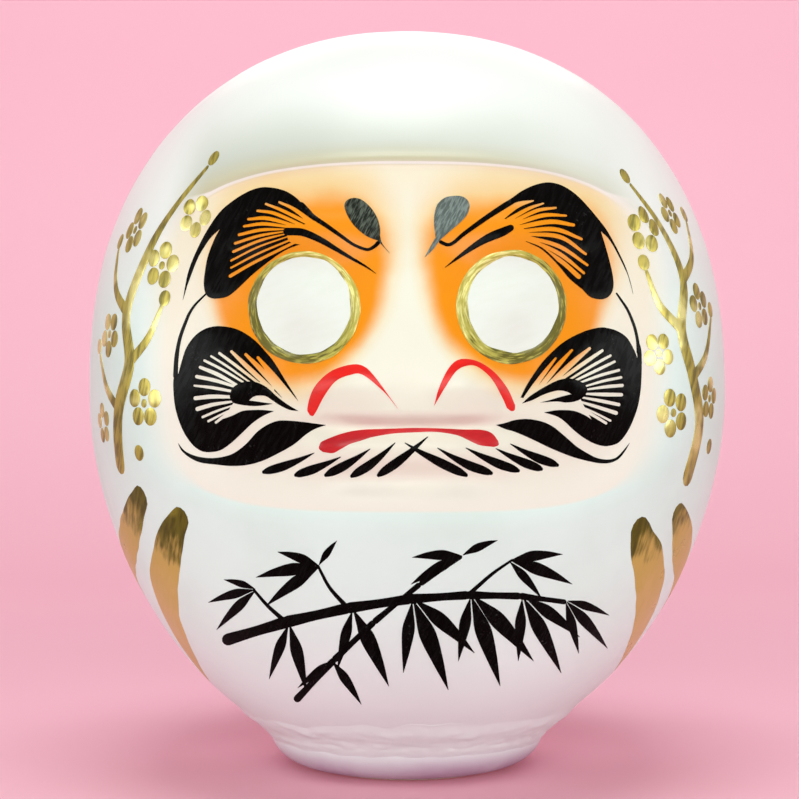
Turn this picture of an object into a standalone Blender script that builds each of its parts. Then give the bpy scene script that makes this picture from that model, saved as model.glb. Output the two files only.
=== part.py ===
"""A papier-mache daruma: a hollow, weighted wish doll with a moulded face.

Metres, +Z up. The face looks along -Y, and the origin is the middle of the flat base.
The body is two pulp-moulded halves, front and rear, that meet on the plane y = 0. Paper
tapes hold them together inside, and a dished foot with a clay weight closes the bottom.
"""
import math

import bmesh
import bpy

MM = 0.001

# Body: a turned form, full at the crown and drawn in to a narrow neck over the foot
BODY_HEIGHT = 340.0 * MM
BODY_RADIUS = 147.5 * MM
EQUATOR_HEIGHT = 176.5 * MM
NECK_RADIUS = 64.0 * MM
CROWN_POWER = 2.24
BELLY_POWER = 1.95
SHELL_WALL = 4.0 * MM

# Foot: a shallow dish, with a spigot that plugs the neck of the body
FOOT_HEIGHT = 18.0 * MM
FOOT_FLAT_RADIUS = 44.0 * MM
FOOT_WALL = 4.0 * MM
SPIGOT_RADIUS = 50.0 * MM
SPIGOT_HEIGHT = 9.0 * MM
WEIGHT_HEIGHT = 13.0 * MM
WEIGHT_CROWN = 5.0 * MM

# Pasted paper: the band over the foot joint, the tapes in the seam and the sheet below
PAPER = 0.8 * MM
BAND_ON_BODY = 13.0 * MM
BAND_ON_FOOT = 6.0 * MM
TAPE_WIDTH = 18.0 * MM
TAPE_FOOT_HEIGHT = 44.0 * MM
TAPE_JOINT_HEIGHT = 256.0 * MM
SHEET_MARGIN = 1.5 * MM

# Pieces that touch keep this gap
CLEARANCE = 0.3 * MM

# Face panel: a rounded rectangle, sunk below the hood
FACE_HALF_WIDTH = 107.5 * MM
FACE_HALF_HEIGHT = 68.5 * MM
FACE_CENTRE_HEIGHT = 197.5 * MM
FACE_CORNER_POWER = 3.3
FACE_RECESS = 5.0 * MM
HOOD_LIP = 0.9 * MM

# Features of the face: where each one is, how far it reaches and how far it stands out
EYE_OFFSET = 41.0 * MM
EYE_HEIGHT = 207.5 * MM
EYE_RADIUS = 24.0 * MM
EYE_RISE = 3.6 * MM
SOCKET_RADIUS = 36.0 * MM
SOCKET_DEPTH = 2.4 * MM
BROW_OFFSET = 45.0 * MM
BROW_HEIGHT = 240.0 * MM
BROW_HALF_WIDTH = 44.0 * MM
BROW_HALF_HEIGHT = 17.0 * MM
BROW_RISE = 3.0 * MM
NOSE_TOP = 236.0 * MM
NOSE_TIP = 173.0 * MM
NOSE_FLOOR = 158.5 * MM
NOSE_UNDERCUT = 7.5 * MM
NOSE_HALF_WIDTH = 43.0 * MM
BRIDGE_HALF_WIDTH = 24.0 * MM
NOSE_RISE = 10.0 * MM
WING_OFFSET = 25.0 * MM
WING_HEIGHT = 176.0 * MM
WING_HALF_WIDTH = 21.0 * MM
WING_HALF_HEIGHT = 17.0 * MM
WING_RISE = 3.4 * MM
LIP_HEIGHT = 150.0 * MM
LIP_HALF_WIDTH = 52.0 * MM
LIP_HALF_HEIGHT = 13.0 * MM
LIP_RISE = 4.2 * MM
CHIN_HEIGHT = 138.0 * MM
CHIN_HALF_WIDTH = 42.0 * MM
CHIN_HALF_HEIGHT = 9.0 * MM
CHIN_HOLLOW = 1.4 * MM
CHEEK_OFFSET = 69.0 * MM
CHEEK_HEIGHT = 176.0 * MM
CHEEK_HALF_WIDTH = 32.0 * MM
CHEEK_HALF_HEIGHT = 36.0 * MM
CHEEK_RISE = 3.6 * MM

# Mesh fineness: spacing of the rows, and how many columns go round
FACE_MARGIN = 8.0 * MM
BODY_ROW = 12.0 * MM
FACE_ROW = 5.0 * MM
MOUTH_ROW = 3.0 * MM
INNER_ROW = 15.0 * MM
CROWN_ROWS = 8
FACE_COLUMNS = 46
BACK_COLUMNS = 29
INNER_COLUMNS = 36
TURNED_STEPS = 40

# Paint and paper colours, linear
LACQUER_WHITE = (0.85, 0.88, 0.84)
WASHI = (0.74, 0.69, 0.58)
CLAY = (0.33, 0.25, 0.19)

# Sizes that follow from those above
SEAT_HEIGHT = FOOT_HEIGHT + CLEARANCE
SOLE_HEIGHT = PAPER + CLEARANCE
NECK_BORE = SPIGOT_RADIUS + CLEARANCE
CROWN_RISE = BODY_HEIGHT - EQUATOR_HEIGHT
NECK_DROP = (1.0 - (NECK_RADIUS / BODY_RADIUS) ** BELLY_POWER) ** (1.0 / BELLY_POWER)
BELLY_DROP = (EQUATOR_HEIGHT - SEAT_HEIGHT) / NECK_DROP
FACE_LOW = FACE_CENTRE_HEIGHT - FACE_HALF_HEIGHT - FACE_MARGIN
FACE_HIGH = FACE_CENTRE_HEIGHT + FACE_HALF_HEIGHT + FACE_MARGIN
FACE_SWEEP = math.asin(min(0.98, (FACE_HALF_WIDTH + FACE_MARGIN) / BODY_RADIUS))


def smooth(start, end, value):
    """0 before start and 1 after end, with a smooth run between. End may be the smaller."""
    share = min(1.0, max(0.0, (value - start) / (end - start)))
    return share * share * (3.0 - 2.0 * share)


def swell(distance):
    """A round swelling: 1 in the middle, 0 from a distance of 1 outwards."""
    return smooth(1.0, 0.0, distance)


def profile(height):
    """The turned form at a height: its radius, and its outward normal as (radial, up)."""
    rise = height - EQUATOR_HEIGHT
    reach = CROWN_RISE if rise >= 0.0 else BELLY_DROP
    power = CROWN_POWER if rise >= 0.0 else BELLY_POWER
    share = min(1.0, abs(rise) / reach)
    radius = BODY_RADIUS * (1.0 - share ** power) ** (1.0 / power)
    radial = (radius / BODY_RADIUS) ** (power - 1.0) / BODY_RADIUS
    up = math.copysign(share ** (power - 1.0) / reach, rise)
    length = math.hypot(radial, up)
    return radius, radial / length, up / length


def face_ring(across, height):
    """How far out in the face panel a point is: 0 in the middle, 1 on the panel's border."""
    side = abs(across) / FACE_HALF_WIDTH
    level = abs(height - FACE_CENTRE_HEIGHT) / FACE_HALF_HEIGHT
    return (side ** FACE_CORNER_POWER + level ** FACE_CORNER_POWER) ** (1.0 / FACE_CORNER_POWER)


def panel_relief(across, height):
    """The sunk face panel: a soft border at the sides, a crisp one under the hood's lip."""
    ring = face_ring(across, height)
    under_hood = smooth(0.2, 0.8, (height - FACE_CENTRE_HEIGHT) / FACE_HALF_HEIGHT)
    softness = 0.16 - 0.11 * under_hood
    sunk = FACE_RECESS * smooth(1.0 + softness, 1.0 - softness, ring)
    lip = HOOD_LIP * under_hood * swell(abs(ring - 1.04) / 0.07)
    return lip - sunk


def eye_relief(across, height):
    """An eye: a shallow socket with the ball of the eye standing in it."""
    distance = math.hypot(across - EYE_OFFSET, height - EYE_HEIGHT)
    return EYE_RISE * swell(distance / EYE_RADIUS) - SOCKET_DEPTH * swell(distance / SOCKET_RADIUS)


def nose_relief(across, height):
    """The broad nose: it widens and rises to its tip, then turns under sharply."""
    down = smooth(NOSE_TOP, NOSE_TIP, height)
    under = smooth(NOSE_FLOOR, NOSE_FLOOR + NOSE_UNDERCUT, height)
    half_width = BRIDGE_HALF_WIDTH + (NOSE_HALF_WIDTH - BRIDGE_HALF_WIDTH) * down
    ridge = NOSE_RISE * down * smooth(1.3, 0.2, across / half_width)
    wing_x = (across - WING_OFFSET) / WING_HALF_WIDTH
    wing_z = (height - WING_HEIGHT) / WING_HALF_HEIGHT
    wing = WING_RISE * swell(math.hypot(wing_x, wing_z))
    return under * (ridge + wing)


def swelling(across, height, offset, middle, half_width, half_height, rise):
    """An oval swelling of the face."""
    return rise * swell(math.hypot((across - offset) / half_width, (height - middle) / half_height))


def roll(across, height, middle, half_width, half_height, rise):
    """A level roll across the middle of the face, such as a lip."""
    return rise * swell(abs(height - middle) / half_height) * smooth(1.0, 0.5, across / half_width)


def relief(across, height):
    """How far the moulded face stands out from the turned form. Both sides are alike."""
    x = abs(across)
    total = panel_relief(x, height) + eye_relief(x, height) + nose_relief(x, height)
    total += swelling(x, height, BROW_OFFSET, BROW_HEIGHT, BROW_HALF_WIDTH, BROW_HALF_HEIGHT, BROW_RISE)
    total += swelling(x, height, CHEEK_OFFSET, CHEEK_HEIGHT, CHEEK_HALF_WIDTH, CHEEK_HALF_HEIGHT, CHEEK_RISE)
    total += roll(x, height, LIP_HEIGHT, LIP_HALF_WIDTH, LIP_HALF_HEIGHT, LIP_RISE)
    total -= roll(x, height, CHIN_HEIGHT, CHIN_HALF_WIDTH, CHIN_HALF_HEIGHT, CHIN_HOLLOW)
    return total


def row_step(height, plain_row):
    """The spacing of the rows at a height."""
    if plain_row > BODY_ROW or not FACE_LOW <= height <= FACE_HIGH:
        return plain_row
    if LIP_HEIGHT - LIP_HALF_HEIGHT <= height <= WING_HEIGHT:
        return MOUTH_ROW
    return FACE_ROW


def row_heights(plain_row):
    """Heights of the rows, from the seat on the foot up to just under the crown."""
    heights = []
    height = SEAT_HEIGHT
    while height < FACE_HIGH:
        heights.append(height)
        height += row_step(height, plain_row)
    start = math.asin(min(1.0, (height - EQUATOR_HEIGHT) / CROWN_RISE) ** (CROWN_POWER / 2.0))
    for row in range(CROWN_ROWS):
        angle = start + (math.pi / 2.0 - start) * row / CROWN_ROWS
        heights.append(EQUATOR_HEIGHT + CROWN_RISE * math.sin(angle) ** (2.0 / CROWN_POWER))
    return heights


def outer_azimuths():
    """Angles of the columns from straight ahead: close on the face, wide round the back."""
    angles = [FACE_SWEEP * (2.0 * column / FACE_COLUMNS - 1.0) for column in range(FACE_COLUMNS)]
    back = 2.0 * (math.pi - FACE_SWEEP)
    angles += [FACE_SWEEP + back * column / BACK_COLUMNS for column in range(BACK_COLUMNS)]
    return angles


def inner_azimuths():
    """Angles of the columns inside, set so that none lies on the seam."""
    return [2.0 * math.pi * (column + 0.5) / INNER_COLUMNS for column in range(INNER_COLUMNS)]


def skin_point(azimuth, height, inset):
    """A point of the moulded skin, or of the smoother surface that lies inset below it."""
    radius, radial, up = profile(height)
    across = radius * math.sin(azimuth)
    stand_out = -inset
    if math.cos(azimuth) > 0.0:
        stand_out += panel_relief(across, height) if inset > 0.0 else relief(across, height)
    reach = radius + radial * stand_out
    return (reach * math.sin(azimuth), -reach * math.cos(azimuth), height + up * stand_out)


def loft_mesh(name, inset=0.0):
    """A closed solid, lofted through level rings from the flat seat to the crown."""
    heights = row_heights(INNER_ROW if inset > 0.0 else BODY_ROW)
    azimuths = inner_azimuths() if inset > 0.0 else outer_azimuths()
    shape = bmesh.new()
    rings = [[shape.verts.new(skin_point(angle, height, inset)) for angle in azimuths] for height in heights]
    crown = shape.verts.new((0.0, 0.0, BODY_HEIGHT - inset))
    for lower, upper in zip(rings, rings[1:]):
        for column, vert in enumerate(lower):
            after = (column + 1) % len(lower)
            shape.faces.new((vert, lower[after], upper[after], upper[column]))
    for column, vert in enumerate(rings[-1]):
        shape.faces.new((vert, rings[-1][(column + 1) % len(azimuths)], crown))
    shape.faces.new(list(reversed(rings[0])))
    bmesh.ops.triangulate(shape, faces=[face for face in shape.faces if len(face.verts) == 4])
    mesh = bpy.data.meshes.new(name)
    shape.to_mesh(mesh)
    shape.free()
    return mesh


def paint(name, colour, roughness):
    """A plain painted or bare paper finish."""
    material = bpy.data.materials.new(name)
    material.use_nodes = True
    surface = material.node_tree.nodes["Principled BSDF"]
    surface.inputs["Base Color"].default_value = (*colour, 1.0)
    surface.inputs["Roughness"].default_value = roughness
    surface.inputs["Metallic"].default_value = 0.0
    return material


def place(name, mesh, material=None):
    """An object of the doll, under the doll's empty."""
    piece = bpy.data.objects.new(name, mesh)
    bpy.context.collection.objects.link(piece)
    piece.parent = doll
    if material:
        mesh.materials.append(material)
        mesh.shade_smooth()
        mesh.set_sharp_from_angle(angle=math.radians(40.0))
    return piece


def cutter(name, mesh):
    """A tool body: it shapes the pieces and isn't one of them."""
    tool = place(name, mesh)
    tool.hide_render = True
    tool.display_type = "WIRE"
    return tool


def block(name, low, high):
    """A box-shaped cutter between two corners."""
    shape = bmesh.new()
    bmesh.ops.create_cube(shape, size=1.0)
    for vert in shape.verts:
        vert.co = [low[axis] + (vert.co[axis] + 0.5) * (high[axis] - low[axis]) for axis in range(3)]
    mesh = bpy.data.meshes.new(name)
    shape.to_mesh(mesh)
    shape.free()
    return cutter(name, mesh)


def cut(piece, tool, operation="DIFFERENCE"):
    """Cut a piece with a tool body."""
    modifier = piece.modifiers.new(tool.name, "BOOLEAN")
    modifier.operation = operation
    modifier.object = tool
    modifier.solver = "EXACT"


def turned(name, points):
    """A solid of revolution. Its profile runs down the outer side, top to bottom."""
    mesh = bpy.data.meshes.new(name)
    corners = [(radius, 0.0, height) for radius, height in points]
    edges = [(index, index + 1) for index in range(len(points) - 1)]
    if points[0][0] > 0.0:
        edges.append((len(points) - 1, 0))
    mesh.from_pydata(corners, edges, [])
    piece = place(name, mesh)
    screw = piece.modifiers.new("turn", "SCREW")
    screw.steps = TURNED_STEPS
    screw.render_steps = TURNED_STEPS
    screw.use_merge_vertices = True
    screw.merge_threshold = 0.00001
    screw.use_smooth_shade = True
    return piece


def foot_wall(depth, standing=0.0):
    """The foot's outer wall at a depth below its rim, pushed out by a standing-off distance."""
    share = min(1.0, depth / (FOOT_HEIGHT - SOLE_HEIGHT))
    angle = math.asin(share)
    half = NECK_RADIUS - FOOT_FLAT_RADIUS
    rise = FOOT_HEIGHT - SOLE_HEIGHT
    radial = math.cos(angle) / half
    down = math.sin(angle) / rise
    length = math.hypot(radial, down)
    radius = FOOT_FLAT_RADIUS + half * math.cos(angle) + standing * radial / length
    return radius, FOOT_HEIGHT - depth - standing * down / length


def make_shells():
    """The two moulded halves: one form, hollowed, bored at the neck and parted on the seam."""
    hollow = cutter("hollow", loft_mesh("hollow", SHELL_WALL))
    neck = turned("neck_bore", [
        (0.0, SEAT_HEIGHT + 2.0 * SHELL_WALL),
        (NECK_BORE, SEAT_HEIGHT + 2.0 * SHELL_WALL),
        (NECK_BORE, SEAT_HEIGHT - SHELL_WALL),
        (0.0, SEAT_HEIGHT - SHELL_WALL),
    ])
    neck.hide_render = True
    neck.display_type = "WIRE"
    far = 2.0 * (BODY_HEIGHT + BODY_RADIUS)
    seam = CLEARANCE / 2.0
    waste = {
        "front_shell": block("rear_waste", (-far, -seam, -far), (far, far, far)),
        "rear_shell": block("front_waste", (-far, -far, -far), (far, seam, far)),
    }
    for name, half in waste.items():
        shell = place(name, loft_mesh(name), paint(name + "_paint", LACQUER_WHITE, 0.4))
        cut(shell, hollow)
        cut(shell, neck)
        cut(shell, half)


def make_tapes():
    """Paper tapes pasted inside along the seam: one up each side and one over the crown."""
    under = cutter("under_tape", loft_mesh("under_tape", SHELL_WALL + CLEARANCE + PAPER))
    far = 2.0 * BODY_RADIUS
    half = TAPE_WIDTH / 2.0
    joint = CLEARANCE / 2.0
    top = 2.0 * BODY_HEIGHT
    regions = {
        "seam_tape_left": ((-far, -half, TAPE_FOOT_HEIGHT), (0.0, half, TAPE_JOINT_HEIGHT - joint)),
        "seam_tape_right": ((0.0, -half, TAPE_FOOT_HEIGHT), (far, half, TAPE_JOINT_HEIGHT - joint)),
        "seam_tape_crown": ((-far, -half, TAPE_JOINT_HEIGHT + joint), (far, half, top)),
    }
    for name, (low, high) in regions.items():
        tape = place(name, loft_mesh(name, SHELL_WALL + CLEARANCE), paint(name + "_washi", WASHI, 0.9))
        cut(tape, under)
        cut(tape, block(name + "_region", low, high), "INTERSECT")


def make_foot():
    """The dished foot and its spigot, the weight in it, the joint band and the bottom sheet."""
    steps = 7
    rise = FOOT_HEIGHT - SOLE_HEIGHT
    wall = [foot_wall(rise * math.sin(math.pi / 2.0 * step / steps)) for step in range(steps + 1)]
    spigot_top = FOOT_HEIGHT + SPIGOT_HEIGHT
    dish_radius = SPIGOT_RADIUS - FOOT_WALL
    dish_floor = SOLE_HEIGHT + FOOT_WALL
    foot = turned("base_cup", [
        (0.0, dish_floor),
        (dish_radius, dish_floor),
        (dish_radius, spigot_top),
        (SPIGOT_RADIUS, spigot_top),
        (SPIGOT_RADIUS, FOOT_HEIGHT),
        *wall,
        (0.0, SOLE_HEIGHT),
    ])
    foot.data.materials.append(paint("base_cup_paint", LACQUER_WHITE, 0.45))

    weight_radius = dish_radius - CLEARANCE
    weight_floor = dish_floor + CLEARANCE
    weight_edge = weight_floor + WEIGHT_HEIGHT - WEIGHT_CROWN
    dome = [math.pi / 2.0 * step / steps for step in range(steps)]
    crown = [(weight_radius * math.sin(angle), weight_edge + WEIGHT_CROWN * math.cos(angle)) for angle in dome]
    weight = turned("clay_weight", [
        *crown,
        (weight_radius, weight_edge),
        (weight_radius, weight_floor),
        (0.0, weight_floor),
    ])
    weight.data.materials.append(paint("clay_weight_clay", CLAY, 0.9))

    band = turned("foot_band", [*band_face(CLEARANCE + PAPER), *reversed(band_face(CLEARANCE))])
    band.data.materials.append(paint("foot_band_paint", LACQUER_WHITE, 0.45))

    sheet_radius = FOOT_FLAT_RADIUS - SHEET_MARGIN
    sheet = turned("bottom_sheet", [(0.0, PAPER), (sheet_radius, PAPER), (sheet_radius, 0.0), (0.0, 0.0)])
    sheet.data.materials.append(paint("bottom_sheet_washi", WASHI, 0.9))


def band_face(standing):
    """One face of the joint band: down the body, through the crease and down the foot."""
    steps = 5
    face = []
    for step in range(steps):
        height = SEAT_HEIGHT + BAND_ON_BODY * (1.0 - step / steps)
        radius, radial, up = profile(height)
        face.append((radius + radial * standing, height + up * standing))
    radius, radial, up = profile(SEAT_HEIGHT)
    along = standing * (1.0 - radial) / -up
    face.append((NECK_RADIUS + standing, SEAT_HEIGHT + up * standing + radial * along))
    face += [foot_wall(BAND_ON_FOOT * step / steps, standing) for step in range(2, steps + 1)]
    return face


for old in list(bpy.data.objects):
    bpy.data.objects.remove(old, do_unlink=True)
doll = bpy.data.objects.new("doll", None)
bpy.context.collection.objects.link(doll)
make_shells()
make_tapes()
make_foot()
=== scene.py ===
# %% [markdown]
# # A white papier-mache daruma, dressed for its portrait
#
# The doll is a hollow paper shell on a small weighted foot. The solids give its form. This file gives
# it what a painter gives the real one: a skin of lacquer over lumpy paper, a flesh-coloured face with
# orange airbrushed round the eyes, black brushwork in the shape of cranes and tortoises, and gold.
#
# It starts by loading the imported model, whose solids give some of the sizes below.

# %% Load the frame
import math

import bmesh
import bpy
import numpy as np
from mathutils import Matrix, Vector, noise
from mathutils.bvhtree import BVHTree
from mathutils.geometry import delaunay_2d_cdt


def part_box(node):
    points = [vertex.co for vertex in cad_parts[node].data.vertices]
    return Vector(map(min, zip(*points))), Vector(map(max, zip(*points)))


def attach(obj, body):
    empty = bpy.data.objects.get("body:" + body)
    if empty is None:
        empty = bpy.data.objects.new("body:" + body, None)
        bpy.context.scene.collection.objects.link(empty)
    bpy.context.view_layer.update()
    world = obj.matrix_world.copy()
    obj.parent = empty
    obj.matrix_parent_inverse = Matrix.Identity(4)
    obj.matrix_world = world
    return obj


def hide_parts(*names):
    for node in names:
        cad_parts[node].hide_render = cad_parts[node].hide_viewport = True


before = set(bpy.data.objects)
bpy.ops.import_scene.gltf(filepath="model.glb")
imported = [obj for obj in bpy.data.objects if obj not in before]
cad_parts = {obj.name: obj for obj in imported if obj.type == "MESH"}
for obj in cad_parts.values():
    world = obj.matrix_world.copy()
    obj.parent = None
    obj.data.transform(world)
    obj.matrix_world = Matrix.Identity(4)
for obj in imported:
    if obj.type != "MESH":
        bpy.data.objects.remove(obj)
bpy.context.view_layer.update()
MM = 0.001
print("frame loaded with", len(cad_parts), "nodes")

# %% [markdown]
# ## The photograph's camera
#
# The photograph was taken level and straight on, from about 90 cm. Fitting the doll's outline to the
# frame gave the camera's place and a focal length in pixels. The same numbers are used twice: to make
# the camera, and later to carry a painted mark from its place in the photograph onto the skin.

# %% Camera
PHOTO_SIZE = 799
FOCAL_PIXELS = 1913.0
SENSOR = 36.0
CAMERA_PLACE = Vector((-0.0035, -0.90, 0.1706))

camera_data = bpy.data.cameras.new("portrait_camera")
camera_data.sensor_width = SENSOR
camera_data.lens = FOCAL_PIXELS / PHOTO_SIZE * SENSOR
camera = bpy.data.objects.new("portrait_camera", camera_data)
camera.location = CAMERA_PLACE
camera.rotation_euler = (math.radians(90.0), 0.0, 0.0)
bpy.context.scene.collection.objects.link(camera)
bpy.context.scene.camera = camera
print(f"camera with a {camera_data.lens:.1f} mm lens")

# %% [markdown]
# ## The form of the body
#
# The body is a turned form, full at the crown and drawn in to a narrow neck, and the face is a relief
# pressed into its front. The solids are made from the same sizes, apart from the edge of the hood,
# where they have a higher lip and a steeper drop. Here the formula runs on whole arrays of points, so
# that the skin can have many more of them and show the relief smoothly.

# %% Sizes of the body
shell_low, shell_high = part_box("front_shell")
BODY_HEIGHT = shell_high.z
SEAT_HEIGHT = shell_low.z
BODY_RADIUS = 147.5 * MM
EQUATOR_HEIGHT = 176.5 * MM
NECK_RADIUS = 64.0 * MM
CROWN_POWER = 2.24
BELLY_POWER = 1.95
SHELL_WALL = 4.0 * MM
CROWN_RISE = BODY_HEIGHT - EQUATOR_HEIGHT
NECK_DROP = (1.0 - (NECK_RADIUS / BODY_RADIUS) ** BELLY_POWER) ** (1.0 / BELLY_POWER)
BELLY_DROP = (EQUATOR_HEIGHT - SEAT_HEIGHT) / NECK_DROP


def smooth(start, end, value):
    """0 before start and 1 after end, with a smooth run between. End may be the smaller."""
    share = np.clip((value - start) / (end - start), 0.0, 1.0)
    return share * share * (3.0 - 2.0 * share)


def swell(distance):
    """A round swelling: 1 in the middle, 0 from a distance of 1 outwards."""
    return smooth(1.0, 0.0, distance)


def profile(height):
    """The turned form at each height: its radius, and its outward normal as (radial, up)."""
    rise = height - EQUATOR_HEIGHT
    reach = np.where(rise >= 0.0, CROWN_RISE, BELLY_DROP)
    power = np.where(rise >= 0.0, CROWN_POWER, BELLY_POWER)
    share = np.minimum(1.0, np.abs(rise) / reach)
    radius = BODY_RADIUS * (1.0 - share ** power) ** (1.0 / power)
    radial = (radius / BODY_RADIUS) ** (power - 1.0) / BODY_RADIUS
    up = np.sign(rise) * share ** (power - 1.0) / reach
    length = np.hypot(radial, up)
    return radius, radial / length, up / length


print(f"body {BODY_HEIGHT / MM:.0f} mm tall on a neck {2 * NECK_RADIUS / MM:.0f} mm across")

# %% [markdown]
# ## The face in relief
#
# The face is a rounded rectangle sunk under the edge of the hood. In it stand round eyes in shallow
# sockets, a heavy brow, a broad nose that turns under sharply, round cheeks and a rolled lip. Each
# is a smooth bump with a place, a reach and a rise, and the relief is their sum.

# %% Sizes of the face
FACE_HALF_WIDTH = 107.5 * MM
FACE_HALF_HEIGHT = 68.5 * MM
FACE_CENTRE_HEIGHT = 197.5 * MM
FACE_CORNER_POWER = 3.3
FACE_RECESS = 5.0 * MM
HOOD_LIP = 0.5 * MM
HOOD_STEP = 0.35
# In shares of the panel: where the hood begins to tell and tells fully, how soft the panel's edge is at
# the sides and how much crisper under the hood, where the slope ends, and the ring of the lip
HOOD_START, HOOD_FULL = 0.2, 0.8
PANEL_SOFTNESS, HOOD_CRISPNESS = 0.16, 0.13
SLOPE_END = 0.72
LIP_RING, LIP_HALF_RING = 1.03, 0.05

EYE_OFFSET, EYE_HEIGHT, EYE_RADIUS, EYE_RISE = 41.0 * MM, 207.5 * MM, 24.0 * MM, 3.6 * MM
SOCKET_RADIUS, SOCKET_DEPTH = 36.0 * MM, 2.4 * MM
NOSE_TOP, NOSE_TIP, NOSE_FLOOR, NOSE_UNDERCUT = 236.0 * MM, 173.0 * MM, 158.5 * MM, 7.5 * MM
NOSE_HALF_WIDTH, BRIDGE_HALF_WIDTH, NOSE_RISE = 43.0 * MM, 24.0 * MM, 10.0 * MM

# Oval swellings: offset, height, half width, half height, rise
BROW = (45.0 * MM, 240.0 * MM, 44.0 * MM, 17.0 * MM, 3.0 * MM)
CHEEK = (69.0 * MM, 176.0 * MM, 32.0 * MM, 36.0 * MM, 3.6 * MM)
NOSE_WING = (25.0 * MM, 176.0 * MM, 21.0 * MM, 17.0 * MM, 3.4 * MM)

# Level rolls across the middle: height, half width, half height, rise
LIP = (150.0 * MM, 52.0 * MM, 13.0 * MM, 4.2 * MM)
CHIN = (138.0 * MM, 42.0 * MM, 9.0 * MM, -1.4 * MM)
print(f"the face is {2 * FACE_HALF_WIDTH / MM:.0f} mm wide and sunk {FACE_RECESS / MM:.1f} mm")

# %% Relief of the face
def face_ring(across, height, half_height=FACE_HALF_HEIGHT, power=FACE_CORNER_POWER):
    """How far out in the face panel a point is: 0 in the middle, 1 on the panel's border."""
    side = np.abs(across) / FACE_HALF_WIDTH
    level = np.abs(height - FACE_CENTRE_HEIGHT) / half_height
    return (side ** power + level ** power) ** (1.0 / power)


def under_hood(height):
    """1 along the top of the face, where the hood's edge is crisp, and 0 from its middle down."""
    return smooth(HOOD_START, HOOD_FULL, (height - FACE_CENTRE_HEIGHT) / FACE_HALF_HEIGHT)


def panel_relief(across, height):
    """The sunk face panel: soft at the sides, and under the hood a small crisp step, then a slope."""
    ring = face_ring(across, height)
    hooded = under_hood(height)
    softness = PANEL_SOFTNESS - HOOD_CRISPNESS * hooded
    step = smooth(1.0 + softness, 1.0 - softness, ring)
    slope = smooth(1.0, SLOPE_END, ring)
    sunk = FACE_RECESS * (step + hooded * (1.0 - HOOD_STEP) * (slope - step))
    return HOOD_LIP * hooded * swell(np.abs(ring - LIP_RING) / LIP_HALF_RING) - sunk


def oval(across, height, offset, middle, half_width, half_height, rise):
    """An oval swelling of the face."""
    return rise * swell(np.hypot((across - offset) / half_width, (height - middle) / half_height))


def roll(across, height, middle, half_width, half_height, rise):
    """A level roll across the middle of the face, such as a lip."""
    return rise * swell(np.abs(height - middle) / half_height) * smooth(1.0, 0.5, across / half_width)


def nose_relief(across, height):
    """The broad nose: it widens and rises to its tip, then turns under sharply."""
    down = smooth(NOSE_TOP, NOSE_TIP, height)
    under = smooth(NOSE_FLOOR, NOSE_FLOOR + NOSE_UNDERCUT, height)
    half_width = BRIDGE_HALF_WIDTH + (NOSE_HALF_WIDTH - BRIDGE_HALF_WIDTH) * down
    ridge = NOSE_RISE * down * smooth(1.3, 0.2, across / half_width)
    return under * (ridge + oval(across, height, *NOSE_WING))


def relief(across, height):
    """How far the moulded face stands out from the turned form. Both sides are alike."""
    x = np.abs(across)
    distance = np.hypot(x - EYE_OFFSET, height - EYE_HEIGHT)
    eye = EYE_RISE * swell(distance / EYE_RADIUS) - SOCKET_DEPTH * swell(distance / SOCKET_RADIUS)
    swellings = oval(x, height, *BROW) + oval(x, height, *CHEEK)
    rolls = roll(x, height, *LIP) + roll(x, height, *CHIN)
    return panel_relief(x, height) + eye + nose_relief(x, height) + swellings + rolls


def skin_points(azimuth, height, inset=0.0):
    """Points of the skin, or of the plainer surface that lies inset below it."""
    radius, radial, up = profile(height)
    across = radius * np.sin(azimuth)
    moulded = panel_relief(across, height) if inset > 0.0 else relief(across, height)
    stand_out = np.where(np.cos(azimuth) > 0.0, moulded, 0.0) - inset
    reach = radius + radial * stand_out
    points = np.stack([reach * np.sin(azimuth), -reach * np.cos(azimuth), height + up * stand_out], -1)
    normals = np.stack([radial * np.sin(azimuth), -radial * np.cos(azimuth), up], -1)
    return points, normals


print(f"the tip of the nose stands out {relief(0.0, NOSE_TIP) / MM:.1f} mm")

# %% [markdown]
# ## The painted skin
#
# On the real doll the two moulded halves disappear under layers of chalk ground and lacquer, so the
# skin is one closed mesh that stands for both shells. Its rows and columns are close on the face and
# wider round the back. Hand-laid paper is never quite smooth: three sizes of noise push the points in
# and out by fractions of a millimetre, and that shows in the highlights.

# %% Rows and columns of the skin
FACE_SWEEP = math.radians(56.0)
FACE_COLUMNS = 240
BACK_COLUMNS = 150
BELLY_ROWS = 36
FACE_ROWS = 136
CROWN_ROWS = 34
INNER_ROWS = 14
FACE_LOW = 120.0 * MM
FACE_HIGH = 276.0 * MM

# Lumps of the paper: their size, and how far they push the skin
PAPER_LUMPS = [(60.0 * MM, 0.5 * MM), (18.0 * MM, 0.16 * MM), (6.0 * MM, 0.035 * MM)]


def crown_heights(low, rows):
    """Heights that close up towards the crown, so that the rows stay evenly spaced on the dome."""
    start = math.asin(((low - EQUATOR_HEIGHT) / CROWN_RISE) ** (CROWN_POWER / 2.0))
    angles = np.linspace(start, math.pi / 2.0, rows, endpoint=False)
    return EQUATOR_HEIGHT + CROWN_RISE * np.sin(angles) ** (2.0 / CROWN_POWER)


def lumps(points, seed=0.0):
    """How far the paper's unevenness lifts each point."""
    lift = np.zeros(len(points))
    for size, push in PAPER_LUMPS:
        lift += push * np.array([noise.noise(Vector(p) / size + Vector((seed, seed, size))) for p in points])
    return lift


def skin_grid(heights, azimuths, inset=0.0):
    """A grid of points, row by row, with its normals."""
    rows, columns = np.meshgrid(heights, azimuths, indexing="ij")
    points, normals = skin_points(columns.ravel(), rows.ravel(), inset)
    return points, normals, columns.ravel(), rows.ravel()


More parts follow.
